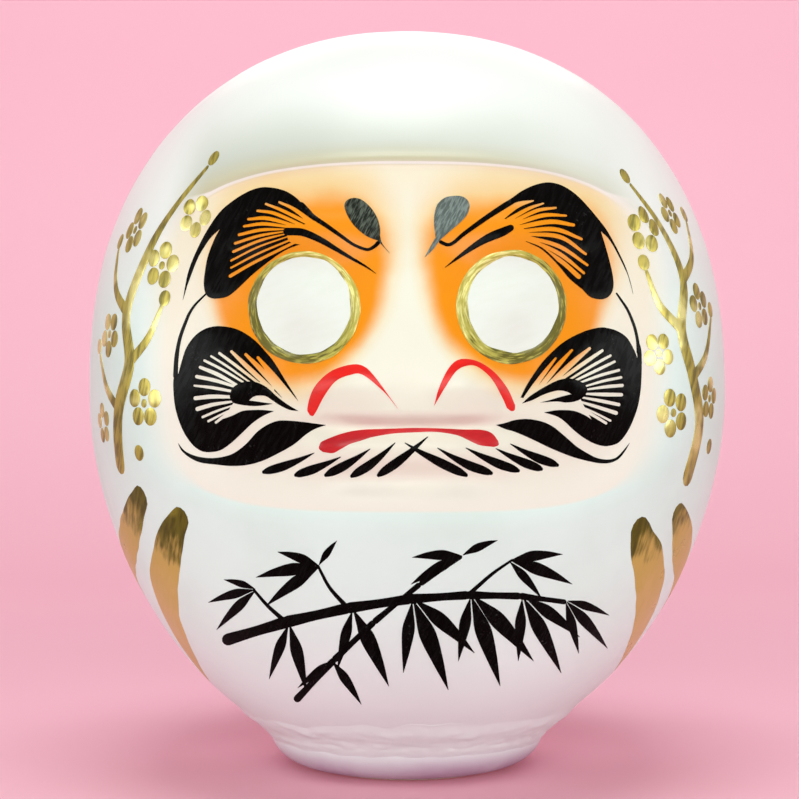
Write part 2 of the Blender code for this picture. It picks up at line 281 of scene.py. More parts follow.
def ring_faces(start, rows, columns):
    """Quads between closed rings of points, row above row."""
    row, column = np.meshgrid(np.arange(rows - 1), np.arange(columns), indexing="ij")
    low = start + row * columns
    after = (column + 1) % columns
    quads = np.stack([low + column, low + after, low + columns + after, low + columns + column], -1)
    return quads.reshape(-1, 4).tolist()


face_angles = np.linspace(-FACE_SWEEP, FACE_SWEEP, FACE_COLUMNS, endpoint=False)
back_angles = np.linspace(FACE_SWEEP, 2.0 * math.pi - FACE_SWEEP, BACK_COLUMNS, endpoint=False)
azimuths = np.concatenate([face_angles, back_angles])
heights = np.concatenate([
    np.linspace(SEAT_HEIGHT, FACE_LOW, BELLY_ROWS, endpoint=False),
    np.linspace(FACE_LOW, FACE_HIGH, FACE_ROWS, endpoint=False),
    crown_heights(FACE_HIGH, CROWN_ROWS),
])
print(len(heights), "rows by", len(azimuths), "columns of skin")

# %% Build the skin
SHARP_ANGLE = math.radians(50.0)


def new_piece(name, vertices, faces, *nodes, slot="painted_pulp"):
    """A closed mesh piece that rides on the doll, stands for the named nodes and has smooth shading."""
    mesh = bpy.data.meshes.new(name)
    mesh.from_pydata(vertices, [], faces)
    shape = bmesh.new()
    shape.from_mesh(mesh)
    bmesh.ops.recalc_face_normals(shape, faces=shape.faces)
    shape.to_mesh(mesh)
    shape.free()
    mesh.shade_smooth()
    mesh.set_sharp_from_angle(angle=SHARP_ANGLE)
    piece = bpy.data.objects.new(name, mesh)
    bpy.context.scene.collection.objects.link(piece)
    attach(piece, "root")
    if nodes:
        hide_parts(*nodes)
    return piece


outer, normals, outer_azimuth, outer_height = skin_grid(heights, azimuths)
outer = outer + normals * lumps(outer)[:, None]
inner_low = SEAT_HEIGHT + SHELL_WALL
inner_heights = np.concatenate([
    np.linspace(inner_low, FACE_HIGH, INNER_ROWS, endpoint=False),
    crown_heights(FACE_HIGH, INNER_ROWS // 2),
])
inner = skin_grid(inner_heights, azimuths, SHELL_WALL)[0]
crown_out = len(outer) + len(inner)
crown_points = [(0.0, 0.0, BODY_HEIGHT), (0.0, 0.0, BODY_HEIGHT - SHELL_WALL)]
skin_vertices = [*outer.tolist(), *inner.tolist(), *crown_points]

columns = len(azimuths)
skin_faces = ring_faces(0, len(heights), columns)
skin_faces += ring_faces(len(outer), len(inner_heights), columns)
for column in range(columns):
    after = (column + 1) % columns
    last_out = len(outer) - columns
    last_in = crown_out - columns
    skin_faces.append((last_out + column, last_out + after, crown_out))
    skin_faces.append((last_in + after, last_in + column, crown_out + 1))
    skin_faces.append((after, column, len(outer) + column, len(outer) + after))
skin = new_piece("painted_body", skin_vertices, skin_faces, "front_shell", "rear_shell")
print("painted_body has", len(skin.data.polygons), "faces")

# %% [markdown]
# ## Where the tints lie
#
# The flesh tint fills the face panel and, below it, a squarer chin. It ends crisply under the hood and
# above the belly, and fades at the sides. The orange is airbrushed in two soft squares round the eyes.
# Both are stored on the skin's points as smooth fields, and the lacquer's nodes turn them into edges. A
# field that changes slowly gives a clean edge however far apart the points are.

# %% Tint fields
# Middle and half width of the spray round the left and the right eye
AIRBRUSH_LEFT = (-45.0 * MM, 38.5 * MM)
AIRBRUSH_RIGHT = (47.5 * MM, 41.0 * MM)
AIRBRUSH_HEIGHT = 213.5 * MM
AIRBRUSH_HALF_HEIGHT = 40.0 * MM
AIRBRUSH_POWER = 3.0
HAZE_REACH = 1.04
HAZE_HALF_HEIGHT = 50.0 * MM
# The spray is cut off slantwise towards the nose and the cheek: how far inside a cut starts to tell,
# and a point on each
SPRAY_CUT_RUN = 30.0 * MM
NOSE_CUT = (21.5 * MM, 180.5 * MM)
CHEEK_CUT = (70.0 * MM, 181.0 * MM)
# Below the middle of the face the tint fills a taller, squarer panel
CHIN_HALF_HEIGHT = 72.0 * MM
CHIN_CORNER_POWER = 4.0
# Softness of the tint's edge under the hood and at the sides, and where in the half width the sides begin
CRISP_EDGE = 0.009
FADED_EDGE = 0.07
SIDE_START, SIDE_FULL = 0.75, 0.98
# What the fields say far outside the panel and the spray
FAR_RING, FAR_SPRAY, FAR_DEPTH = 2.0, 9.0, 30.0

across = profile(outer_height)[0] * np.sin(outer_azimuth)
in_front = np.cos(outer_azimuth) > 0.0
on_chin = outer_height < FACE_CENTRE_HEIGHT
chin_ring = face_ring(across, outer_height, CHIN_HALF_HEIGHT, CHIN_CORNER_POWER)
ring = np.where(on_chin, chin_ring, face_ring(across, outer_height))
ring = np.where(in_front, ring, FAR_RING)
sideness = smooth(SIDE_START, SIDE_FULL, np.abs(across) / FACE_HALF_WIDTH)
panel_depth = (1.0 - ring) / (CRISP_EDGE + (FADED_EDGE - CRISP_EDGE) * sideness)


def spray_field(reach_share, half_height):
    """How far out in the spray round the nearer eye a point is: 1 on its border."""
    middle = np.where(across < 0.0, AIRBRUSH_LEFT[0], AIRBRUSH_RIGHT[0])
    reach = np.where(across < 0.0, AIRBRUSH_LEFT[1], AIRBRUSH_RIGHT[1]) * reach_share
    side = np.abs(across - middle) / reach
    level = np.abs(outer_height - AIRBRUSH_HEIGHT) / half_height
    total = side ** AIRBRUSH_POWER + level ** AIRBRUSH_POWER
    for way, (cut_x, cut_height) in ((-1.0, NOSE_CUT), (1.0, CHEEK_CUT)):
        past_cut = (way * (np.abs(across) - cut_x) + cut_height - outer_height) / math.sqrt(2.0)
        total += np.maximum(0.0, 1.0 + past_cut / SPRAY_CUT_RUN) ** AIRBRUSH_POWER
    spray = np.where(in_front, total ** (1.0 / AIRBRUSH_POWER), FAR_SPRAY)
    return np.clip(spray, 0.0, FAR_SPRAY)


def store_field(piece, name, values, rest=0.0):
    """Keep a number on each point of a piece, for its nodes to read."""
    field = piece.data.attributes.new(name, "FLOAT", "POINT")
    padded = np.full(len(piece.data.vertices), rest)
    padded[:len(values)] = values
    field.data.foreach_set("value", padded)


store_field(skin, "panel_depth", np.clip(panel_depth, -FAR_DEPTH, FAR_DEPTH), -FAR_DEPTH)
store_field(skin, "panel_ring", np.clip(ring, 0.0, FAR_RING), FAR_RING)
store_field(skin, "airbrush", spray_field(1.0, AIRBRUSH_HALF_HEIGHT), FAR_SPRAY)
store_field(skin, "haze", spray_field(HAZE_REACH, HAZE_HALF_HEIGHT), FAR_SPRAY)
# The top of the face under the hood: the mask for painted shade on the hood and a painted highlight along
# its lip
store_field(skin, "hood_line", under_hood(outer_height) * in_front * (1.0 - sideness))
print(f"{int((panel_depth > 0).sum())} points of the skin are flesh coloured")

# %% [markdown]
# ## The foot and its creased joint
#
# Below the neck the body stands on a shallow dished foot, lacquered like the rest. A strip of paper is
# pasted over the joint. Pressed into the crease by hand it puckers, so the band is modelled as a thin
# ring with feathered edges, whose face is pushed in and out by stretched noise.

# %% Foot
foot_low, foot_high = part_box("base_cup")
FOOT_HEIGHT = 18.0 * MM
FOOT_FLAT_RADIUS = 44.0 * MM
FOOT_WALL = 4.0 * MM
SPIGOT_RADIUS = 50.0 * MM
SOLE_HEIGHT = foot_low.z
FOOT_COLUMNS = 192
FOOT_ROWS = 22
FOOT_SEED = 7.0
FOOT_LUMP_SHARE = 0.6


def foot_wall(depth):
    """The foot's outer wall at a depth below its rim, and its normal, as (radius, height, radial, up)."""
    rise = FOOT_HEIGHT - SOLE_HEIGHT
    half = NECK_RADIUS - FOOT_FLAT_RADIUS
    angle = math.asin(min(1.0, depth / rise))
    radial, down = math.cos(angle) / half, math.sin(angle) / rise
    length = math.hypot(radial, down)
    return FOOT_FLAT_RADIUS + half * math.cos(angle), FOOT_HEIGHT - depth, radial / length, -down / length


def turned_points(profile_points, columns):
    """Rings of points round the axis, one for each (radius, height)."""
    turns = np.linspace(0.0, 2.0 * math.pi, columns, endpoint=False)
    return np.concatenate([
        np.stack([radius * np.sin(turns), -radius * np.cos(turns), np.full(columns, height)], -1)
        for radius, height in profile_points
    ])


foot_rise = FOOT_HEIGHT - SOLE_HEIGHT
foot_depths = [foot_rise * math.sin(math.pi / 2.0 * row / FOOT_ROWS) for row in range(FOOT_ROWS + 1)]
dish_radius = SPIGOT_RADIUS - FOOT_WALL
middle_radius = 0.2 * dish_radius
foot_profile = [
    (middle_radius, SOLE_HEIGHT + FOOT_WALL),
    (dish_radius, SOLE_HEIGHT + FOOT_WALL),
    (dish_radius, foot_high.z),
    (SPIGOT_RADIUS, foot_high.z),
    (SPIGOT_RADIUS, FOOT_HEIGHT),
    *[foot_wall(depth)[:2] for depth in foot_depths],
    (middle_radius, SOLE_HEIGHT),
]
foot_points = turned_points(foot_profile, FOOT_COLUMNS)
first_wall = foot_profile.index(foot_wall(foot_depths[0])[:2])
wall_rows = slice(first_wall * FOOT_COLUMNS, (first_wall + 1 + FOOT_ROWS) * FOOT_COLUMNS)
wall = foot_points[wall_rows]
wall_out = wall / np.linalg.norm(wall[:, :2], axis=1)[:, None] * np.array([1.0, 1.0, 0.0])
foot_points[wall_rows] = wall + wall_out * lumps(wall, FOOT_SEED)[:, None] * FOOT_LUMP_SHARE
foot_faces = ring_faces(0, len(foot_profile), FOOT_COLUMNS)
foot_faces.append(list(range(FOOT_COLUMNS)))
foot_faces.append(list(range(len(foot_points) - FOOT_COLUMNS, len(foot_points))))
foot = new_piece("painted_foot", foot_points.tolist(), foot_faces, "base_cup")
print("painted_foot has", len(foot.data.polygons), "faces")

# %% Creased band over the joint
PAPER = 0.8 * MM
CLEARANCE = 0.3 * MM
BAND_ON_BODY = 13.0 * MM
BAND_ON_FOOT = 6.0 * MM
BAND_ROWS = 26
BAND_COLUMNS = 360
CREASE_SOFTENING = 40
PUCKER = 0.7 * MM
TUCK = 0.25 * MM
BAND_RAGGED = 0.22
# How often the edge wanders and the paper folds round the foot, folds from edge to edge, and finer folds
RAGGED_RUNS = 6.0
FOLD_RUNS, FOLD_ROWS = 7.0, 6.0
FINE_FOLDS, FINE_SHARE = 2.3, 0.5
MEAN_FOLD = 0.3


def band_path(share, ragged):
    """The band's middle line from its upper edge (share 0) to its lower edge (share 1), with normals."""
    length = BAND_ON_BODY + BAND_ON_FOOT
    along = share * length
    if along < BAND_ON_BODY:
        height = SEAT_HEIGHT + (BAND_ON_BODY - along) * (1.0 + ragged * (1.0 - share))
        radius, radial, up = profile(np.array([height]))
        return float(radius[0]), height, float(radial[0]), float(up[0])
    return foot_wall((along - BAND_ON_BODY) * (1.0 + ragged))


def band_section(turn):
    """The two faces of the band at one angle: outside points, then inside points."""
    around = Vector((math.sin(turn), math.cos(turn), 0.0))
    ragged = BAND_RAGGED * noise.noise(RAGGED_RUNS * around + Vector((0.0, 0.0, 3.0)))
    steps = [band_path(row / BAND_ROWS, ragged) for row in range(BAND_ROWS + 1)]
    line = np.array([step[:2] for step in steps])
    facing = np.array([step[2:] for step in steps])
    for _ in range(CREASE_SOFTENING):
        line[1:-1] = 0.25 * line[:-2] + 0.5 * line[1:-1] + 0.25 * line[2:]
        facing[1:-1] = 0.25 * facing[:-2] + 0.5 * facing[1:-1] + 0.25 * facing[2:]
    outside = []
    for row, (point, normal) in enumerate(zip(line, facing)):
        share = row / BAND_ROWS
        feather = float(smooth(0.0, 0.35, share) * smooth(1.0, 0.7, share))
        where = FOLD_RUNS * around + Vector((0.0, 0.0, FOLD_ROWS * share))
        fold = abs(noise.noise(where)) + FINE_SHARE * abs(noise.noise(where * FINE_FOLDS))
        stand = feather * (CLEARANCE + PAPER + PUCKER * (fold - MEAN_FOLD)) - (1.0 - feather) * TUCK
        outside.append(point + normal * stand)
    inside = [point - normal * 2.0 * TUCK for point, normal in zip(line, facing)]
    return outside + inside[::-1]


band_turns = [2.0 * math.pi * column / BAND_COLUMNS for column in range(BAND_COLUMNS)]
sections = [band_section(turn) for turn in band_turns]
band_points = [
    (radius * math.sin(turn), -radius * math.cos(turn), height)
    for turn, section in zip(band_turns, sections) for radius, height in section
]
band_faces = ring_faces(0, BAND_COLUMNS + 1, 2 * BAND_ROWS + 2)
band_faces = [[corner % len(band_points) for corner in face] for face in band_faces]
band = new_piece("creased_band", band_points, band_faces, "foot_band", slot="painted_paper")
print("creased_band has", len(band.data.polygons), "faces")

# %% [markdown]
# ## Two effects that the finishes share
#
# Two things show in more than one finish: the cloudy unevenness of hand-laid paper under its lacquer,
# and the drag lines that a loaded brush leaves. Each is a node group with named sockets, built once
# and placed in each material with its own values. A group gives only masks and heights.

# %% Node helpers
def srgb(red, green, blue):
    """A colour written as 0 to 255, turned into the linear values that shaders use."""
    shares = [part / 255.0 for part in (red, green, blue)]
    return tuple(share / 12.92 if share < 0.0404 else ((share + 0.055) / 1.055) ** 2.4 for share in shares)


def node(tree, kind, links=None, **settings):
    """A shader node with its settings. links maps an input's name or index to a value or a socket."""
    made = tree.nodes.new(kind)
    for name, value in settings.items():
        setattr(made, name, value)
    for name, value in (links or {}).items():
        socket = made.inputs[name]
        if isinstance(value, bpy.types.NodeSocket):
            tree.links.new(value, socket)
        elif isinstance(value, tuple) and socket.type == "RGBA":
            socket.default_value = (*value[:3], 1.0)
        else:
            socket.default_value = value
    return made


def mix_colours(tree, share, first, second):
    """A colour between two others."""
    mixed = node(tree, "ShaderNodeMix", {0: share, 6: first, 7: second}, data_type="RGBA")
    return mixed.outputs[2]


def ramp(tree, value, low, high, start=0.0, end=1.0):
    """A smooth mask: start below low, end above high."""
    links = {"Value": value, "From Min": low, "From Max": high, "To Min": start, "To Max": end}
    return node(tree, "ShaderNodeMapRange", links, interpolation_type="SMOOTHSTEP").outputs[0]


def calculate(tree, operation, *values):
    """One step of arithmetic on values or sockets."""
    return node(tree, "ShaderNodeMath", dict(enumerate(values)), operation=operation).outputs[0]


def vector_step(tree, operation, *values):
    """One step of arithmetic on vectors."""
    return node(tree, "ShaderNodeVectorMath", dict(enumerate(values)), operation=operation).outputs


def seen_directly(tree):
    """1 where a surface is seen, also in a reflection or through glass, and 0 where it only gives light."""
    ray = node(tree, "ShaderNodeLightPath").outputs
    seen = calculate(tree, "ADD", ray["Is Camera Ray"], ray["Is Glossy Ray"])
    return calculate(tree, "ADD", seen, ray["Is Transmission Ray"])


def effect_group(name, inputs, outputs):
    """An empty node group with named number sockets, and its two end nodes."""
    group = bpy.data.node_groups.new(name, "ShaderNodeTree")
    for label, default in inputs.items():
        socket = group.interface.new_socket(label, in_out="INPUT", socket_type="NodeSocketFloat")
        socket.default_value = default
    for label in outputs:
        group.interface.new_socket(label, in_out="OUTPUT", socket_type="NodeSocketFloat")
    return group, group.nodes.new("NodeGroupInput"), group.nodes.new("NodeGroupOutput")


print("middle grey is", round(srgb(128, 128, 128)[0], 3), "to a shader")

# %% Group: laid paper
laid_paper, paper_in, paper_out = effect_group("laid_paper", {"Scale": 1.0}, ["Cloud", "Height", "Speck"])
coordinates = node(laid_paper, "ShaderNodeTexCoord").outputs["Object"]
sized = node(laid_paper, "ShaderNodeVectorMath", {0: coordinates, "Scale": paper_in.outputs["Scale"]},
             operation="SCALE").outputs[0]
cloud = node(laid_paper, "ShaderNodeTexNoise", {"Vector": sized, "Scale": 22.0, "Detail": 5.0})
pulp = node(laid_paper, "ShaderNodeTexNoise", {"Vector": sized, "Scale": 160.0, "Detail": 3.0})
fibre = node(laid_paper, "ShaderNodeTexNoise", {"Vector": sized, "Scale": 900.0, "Detail": 2.0})
height_sum = calculate(laid_paper, "MULTIPLY", pulp.outputs[0], 0.8)
height_sum = calculate(laid_paper, "MULTIPLY_ADD", fibre.outputs[0], 0.2, height_sum)
laid_paper.links.new(cloud.outputs[0], paper_out.inputs["Cloud"])
laid_paper.links.new(height_sum, paper_out.inputs["Height"])
laid_paper.links.new(ramp(laid_paper, fibre.outputs[0], 0.62, 0.72), paper_out.inputs["Speck"])
print("node group laid_paper:", len(laid_paper.nodes), "nodes")

# %% Group: brush drag
brush_drag, drag_in, drag_out = effect_group("brush_drag", {"Scale": 1.0, "Stretch": 7.0, "Turn": 0.0},
                                             ["Streak", "Pool", "Height"])
coordinates = node(brush_drag, "ShaderNodeTexCoord").outputs["Object"]
turn_links = {"Vector": coordinates, "Angle": drag_in.outputs["Turn"]}
turned_axis = node(brush_drag, "ShaderNodeVectorRotate", turn_links, rotation_type="Y_AXIS").outputs[0]
squeeze_links = {0: 1.0, 1: 1.0, 2: drag_in.outputs["Stretch"]}
squeeze = node(brush_drag, "ShaderNodeCombineXYZ", squeeze_links).outputs[0]
stretched = vector_step(brush_drag, "MULTIPLY", turned_axis, squeeze)[0]
scale_links = {0: stretched, "Scale": drag_in.outputs["Scale"]}
stretched = node(brush_drag, "ShaderNodeVectorMath", scale_links, operation="SCALE").outputs[0]
bristle = node(brush_drag, "ShaderNodeTexNoise", {"Vector": stretched, "Scale": 120.0, "Detail": 4.0})
pool = node(brush_drag, "ShaderNodeTexNoise", {"Vector": coordinates, "Scale": 55.0, "Detail": 2.0})
brush_drag.links.new(ramp(brush_drag, bristle.outputs[0], 0.38, 0.68), drag_out.inputs["Streak"])
brush_drag.links.new(pool.outputs[0], drag_out.inputs["Pool"])
brush_drag.links.new(bristle.outputs[0], drag_out.inputs["Height"])
print("node group brush_drag:", len(brush_drag.nodes), "nodes")

# %% [markdown]
# ## White lacquer, flesh tint and airbrush
#
# The ground is chalk white under clear lacquer: a clean white with a faint green cast, cloudy where
# the paper takes up more of it, and with a soft gloss. The same material carries the face, because on
# the real doll the tint is sprayed on the white before the lacquer.

# %% Material helpers
def finish(name):
    """A new material, with its node tree and its shader."""
    material = bpy.data.materials.new(name)
    material.use_nodes = True
    return material, material.node_tree, material.node_tree.nodes["Principled BSDF"]


def effect(tree, group, **values):
    """Place a node group in a material, with values for its inputs."""
    placed = node(tree, "ShaderNodeGroup", node_tree=group)
    for label, value in values.items():
        placed.inputs[label].default_value = value
    return placed.outputs


def bump(tree, shader, height, distance, strength=1.0):
    """Roughen a shader's surface with a height."""
    links = {"Height": height, "Distance": distance, "Strength": strength}
    tree.links.new(node(tree, "ShaderNodeBump", links).outputs[0], shader.inputs["Normal"])


def field(tree, name):
    """A number stored on the mesh's points."""
    return node(tree, "ShaderNodeAttribute", attribute_name=name).outputs["Fac"]


stored = [attribute.name for attribute in skin.data.attributes if attribute.data_type == "FLOAT"]
print("fields that the lacquer can read:", ", ".join(stored))

# %% Tints of the face
# HOOD_SHADE is painted shade on the hood above the face
HOOD_SHADE = srgb(199, 204, 190)
# A yellower tint near the hood's lip: partly overspray of the flesh tint, partly painted shade
OVERSPRAY_AND_HOOD_SHADE = srgb(206, 199, 166)
# A pale line along the hood's lip: a painted highlight
PAINTED_LIP_HIGHLIGHT = srgb(244, 238, 228)
FACE_CREAM = srgb(242, 242, 222)
FACE_UPPER_BORDER = srgb(245, 237, 209)
FACE_LOWER_BORDER = srgb(244, 242, 226)
SPRAY_ORANGE = srgb(244, 148, 3)
SPRAY_HAZE = srgb(244, 212, 148)


def face_tints(tree, colour, cloud, sideways, height):
    """The flesh panel, painted shade on the hood above it, a painted highlight along the hood's lip and
    the airbrushed orange, over a colour.
    """
    border = mix_colours(tree, ramp(tree, height, 0.15, 0.25), FACE_LOWER_BORDER, FACE_UPPER_BORDER)
    flesh = mix_colours(tree, ramp(tree, field(tree, "panel_ring"), 0.62, 1.0), FACE_CREAM, border)
    depth = field(tree, "panel_depth")
    in_panel = ramp(tree, depth, -1.0, 1.0)
    # Painted shade on the hood above the face, stronger on the left side
    shade_stronger_left = ramp(tree, sideways, 0.0, 0.09, 1.0, 0.4)
    hood_shade_mask = calculate(tree, "MULTIPLY", field(tree, "hood_line"), shade_stronger_left)
    for reach, tint in ((1.6, HOOD_SHADE), (1.16, OVERSPRAY_AND_HOOD_SHADE)):
        near = calculate(tree, "MULTIPLY", ramp(tree, field(tree, "panel_ring"), reach, 1.0), hood_shade_mask)
        colour = mix_colours(tree, near, colour, tint)
    colour = mix_colours(tree, in_panel, colour, flesh)
    # Painted highlight: a pale line just under the hood's lip
    off_line = calculate(tree, "ABSOLUTE", calculate(tree, "ADD", depth, 0.6))
    lip_highlight_mask = calculate(tree, "MULTIPLY", ramp(tree, off_line, 1.0, 0.3), field(tree, "hood_line"))
    colour = mix_colours(tree, lip_highlight_mask, colour, PAINTED_LIP_HIGHLIGHT)
    uneven = calculate(tree, "SUBTRACT", cloud, 0.5)
    soft_edge = calculate(tree, "MULTIPLY_ADD", uneven, 0.35, field(tree, "haze"))
    haze = calculate(tree, "MULTIPLY", ramp(tree, soft_edge, 1.24, 0.82), in_panel)
    colour = mix_colours(tree, haze, colour, SPRAY_HAZE)
    edge = calculate(tree, "MULTIPLY_ADD", uneven, 0.35, field(tree, "airbrush"))
    return mix_colours(tree, ramp(tree, edge, 1.13, 0.85), colour, SPRAY_ORANGE)


print("orange is", [round(part, 3) for part in SPRAY_ORANGE], "to a shader")

# %% Lacquer material
LACQUER_WHITE = srgb(232, 252, 243)
LACQUER_SHADE = srgb(226, 246, 236)
# The crown is painted a lighter, whiter colour: painted light, as where the light from above falls
LACQUER_CROWN_PAINTED_LIGHT = srgb(246, 248, 242)
# Towards the floor the white is painted lighter and less green: painted light
LACQUER_LOW_PAINTED_LIGHT = srgb(244, 249, 246)
# A patchy darker lilac just above the floor: painted shade
LACQUER_FLOOR_SHADE = srgb(192, 158, 182)


def lacquer(name, with_face):
    """Chalk-white lacquer over paper, with the tints of the face where the piece has them. It is painted
    lighter at the crown and low down, as painted light, and darker right at the floor, as painted shade.
    """
    material, tree, shader = finish(name)
    paper = effect(tree, laid_paper)
    place = node(tree, "ShaderNodeTexCoord").outputs["Object"]
    sideways, _, height = node(tree, "ShaderNodeSeparateXYZ", {0: place}).outputs
    colour = mix_colours(tree, ramp(tree, paper["Cloud"], 0.35, 0.7), LACQUER_WHITE, LACQUER_SHADE)
    # Painted light: lighter towards the crown
    colour = mix_colours(tree, ramp(tree, height, 0.18, 0.27), colour, LACQUER_CROWN_PAINTED_LIGHT)
    # Painted light: lighter and less green low down
    colour = mix_colours(tree, ramp(tree, height, 0.1, 0.03), colour, LACQUER_LOW_PAINTED_LIGHT)
    # Painted shade: a patchy darker lilac in the last few millimetres above the floor
    patchy = ramp(tree, paper["Cloud"], 0.36, 0.6, 0.7, 1.0)
    painted_shade_at_floor = calculate(tree, "MULTIPLY", ramp(tree, height, 0.019, 0.003), patchy)
    colour = mix_colours(tree, painted_shade_at_floor, colour, LACQUER_FLOOR_SHADE)
    if with_face:
        colour = face_tints(tree, colour, paper["Cloud"], sideways, height)
    tree.links.new(colour, shader.inputs["Base Color"])
    tree.links.new(ramp(tree, paper["Cloud"], 0.3, 0.75, 0.30, 0.42), shader.inputs["Roughness"])
    shader.inputs["Specular IOR Level"].default_value = 0.3
    bump(tree, shader, paper["Height"], 0.00006)
    return material


skin.data.materials.append(lacquer("white_lacquer_with_face", True))
plain_lacquer = lacquer("white_lacquer", False)
foot.data.materials.append(plain_lacquer)
band.data.materials.append(plain_lacquer)
print("lacquer on", skin.name, foot.name, band.name)

# %% [markdown]
# ## Paints
#
# Black is a glossy lacquer in which the brush leaves faint grey drag lines. On the heads of the cranes it
# is painted grey, a painted sheen. Gold is powder in varnish: streaky, olive where it is thin and bright
# where it is thick, and matt where the brush runs dry. The reds and the white of the eyes are smoother.
# These use the brush-drag group, each with its own values. The gold round the eyes has streaks of its
# own, which run round with the brush, and is painted lighter above and beside the nose as a painted
# highlight.

# %% Black lacquer
WORN_GREY = srgb(96, 100, 97)


def black_lacquer(name, full_black, thin_black, fineness=1.0):
    """Thick glossy black, paler along the drag of the brush, with a few worn specks."""
    material, tree, shader = finish(name)
    drag = effect(tree, brush_drag, Scale=fineness, Stretch=6.0, Turn=1.1)
    worn = effect(tree, laid_paper, Scale=0.8)["Speck"]
    colour = mix_colours(tree, drag["Streak"], full_black, thin_black)
    wear = calculate(tree, "MULTIPLY", worn, ramp(tree, drag["Pool"], 0.5, 0.7, 0.0, 0.25))
    tree.links.new(mix_colours(tree, wear, colour, WORN_GREY), shader.inputs["Base Color"])
    tree.links.new(ramp(tree, drag["Streak"], 0.0, 1.0, 0.16, 0.3), shader.inputs["Roughness"])
    shader.inputs["Specular IOR Level"].default_value = 0.035
    bump(tree, shader, drag["Height"], 0.00004)
    return material


BLACK = black_lacquer("black_brush_lacquer", srgb(4, 3, 2), srgb(12, 11, 10))
# The heads of the cranes are painted grey with streaks: a painted sheen on the black
DARK_HEAD_SHEEN = black_lacquer("black_with_painted_sheen", srgb(36, 40, 34), srgb(96, 104, 92), 2.2)
PALE_HEAD_SHEEN = black_lacquer("black_with_paler_painted_sheen", srgb(92, 103, 98), srgb(132, 146, 140), 2.2)
print("blacks:", BLACK.name, DARK_HEAD_SHEEN.name, PALE_HEAD_SHEEN.name)

# %% Gold paint
# Where the stripes run dry: how much the pools, the streaks and the way out to the side move the edge,
# and the levels from wet to dry and from dry to pale
DRY_POOL, DRY_STREAK, DRY_SIDE = 0.04, 0.02, -0.75
WET_LEVEL, DRY_LEVEL, PALE_LEVEL = 0.066, 0.053, 0.012


def gold_paint(name, bright, deep, glint, dry=None):
    """Gold powder in varnish: streaked, with glints where it pools. A dry brush leaves it pale low down."""
    material, tree, shader = finish(name)
    drag = effect(tree, brush_drag, Scale=0.8, Stretch=7.0, Turn=1.35)
    colour = mix_colours(tree, drag["Streak"], bright, deep)
    colour = mix_colours(tree, ramp(tree, drag["Pool"], 0.5, 0.68), colour, glint)
    shader.inputs["Metallic"].default_value = 0.45
    if dry:
        place = node(tree, "ShaderNodeTexCoord").outputs["Object"]
        along = node(tree, "ShaderNodeSeparateXYZ", {0: place}).outputs
        sideways = calculate(tree, "ABSOLUTE", along["X"])
        ragged = calculate(tree, "MULTIPLY_ADD", drag["Pool"], DRY_POOL, along["Z"])
        ragged = calculate(tree, "MULTIPLY_ADD", drag["Height"], DRY_STREAK, ragged)
        ragged = calculate(tree, "MULTIPLY_ADD", sideways, DRY_SIDE, ragged)
        dry_colour = mix_colours(tree, ramp(tree, ragged, DRY_LEVEL, PALE_LEVEL), *dry)
        colour = mix_colours(tree, ramp(tree, ragged, WET_LEVEL, DRY_LEVEL), colour, dry_colour)
        shader.inputs["Metallic"].default_value = 0.1
        shader.inputs["Specular IOR Level"].default_value = 0.15
    tree.links.new(colour, shader.inputs["Base Color"])
    tree.links.new(ramp(tree, drag["Pool"], 0.3, 0.7, 0.42, 0.26), shader.inputs["Roughness"])
    bump(tree, shader, drag["Height"], 0.00008)
    return material


GOLD = gold_paint("gold_powder_paint", srgb(178, 164, 66), srgb(110, 102, 26), srgb(230, 222, 140))
STRIPE_GOLD = gold_paint("gold_stripe_paint", srgb(102, 94, 18), srgb(76, 70, 6), srgb(136, 124, 36),
                         (srgb(202, 170, 88), srgb(220, 182, 122)))
print("golds:", GOLD.name, STRIPE_GOLD.name)

# %% Reds and white
def smooth_paint(name, colour, thin_colour, roughness):
    """An even paint with faint drag lines."""
    material, tree, shader = finish(name)
    drag = effect(tree, brush_drag, Scale=0.8, Stretch=4.0, Turn=0.3)
    tree.links.new(mix_colours(tree, drag["Streak"], colour, thin_colour), shader.inputs["Base Color"])
    uneven = ramp(tree, drag["Pool"], 0.3, 0.7, roughness, roughness + 0.12)
    tree.links.new(uneven, shader.inputs["Roughness"])
    shader.inputs["Specular IOR Level"].default_value = 0.3
    bump(tree, shader, drag["Height"], 0.00005)
    return material


RED = smooth_paint("vermilion_paint", srgb(236, 32, 22), srgb(222, 26, 20), 0.28)
CRIMSON = smooth_paint("crimson_paint", srgb(206, 34, 38), srgb(190, 26, 34), 0.28)
EYE_WHITE = smooth_paint("eye_white_paint", srgb(238, 245, 234), srgb(236, 243, 231), 0.32)
print("smooth paints:", RED.name, CRIMSON.name, EYE_WHITE.name)

# %% Gold round the eyes
RING_DEEP, RING_BRIGHT, RING_GLINT = srgb(100, 94, 18), srgb(190, 182, 78), srgb(238, 234, 148)
RING_LANES = 1400.0
RING_TURNS = (4.0, 4.0, 4.0)
# Painted highlight: the direction round the ring that is lighter, and how much it tells
PAINTED_LIT_SIDE = (0.8, 0.6)
PAINTED_LIGHT_SHARE = 0.22


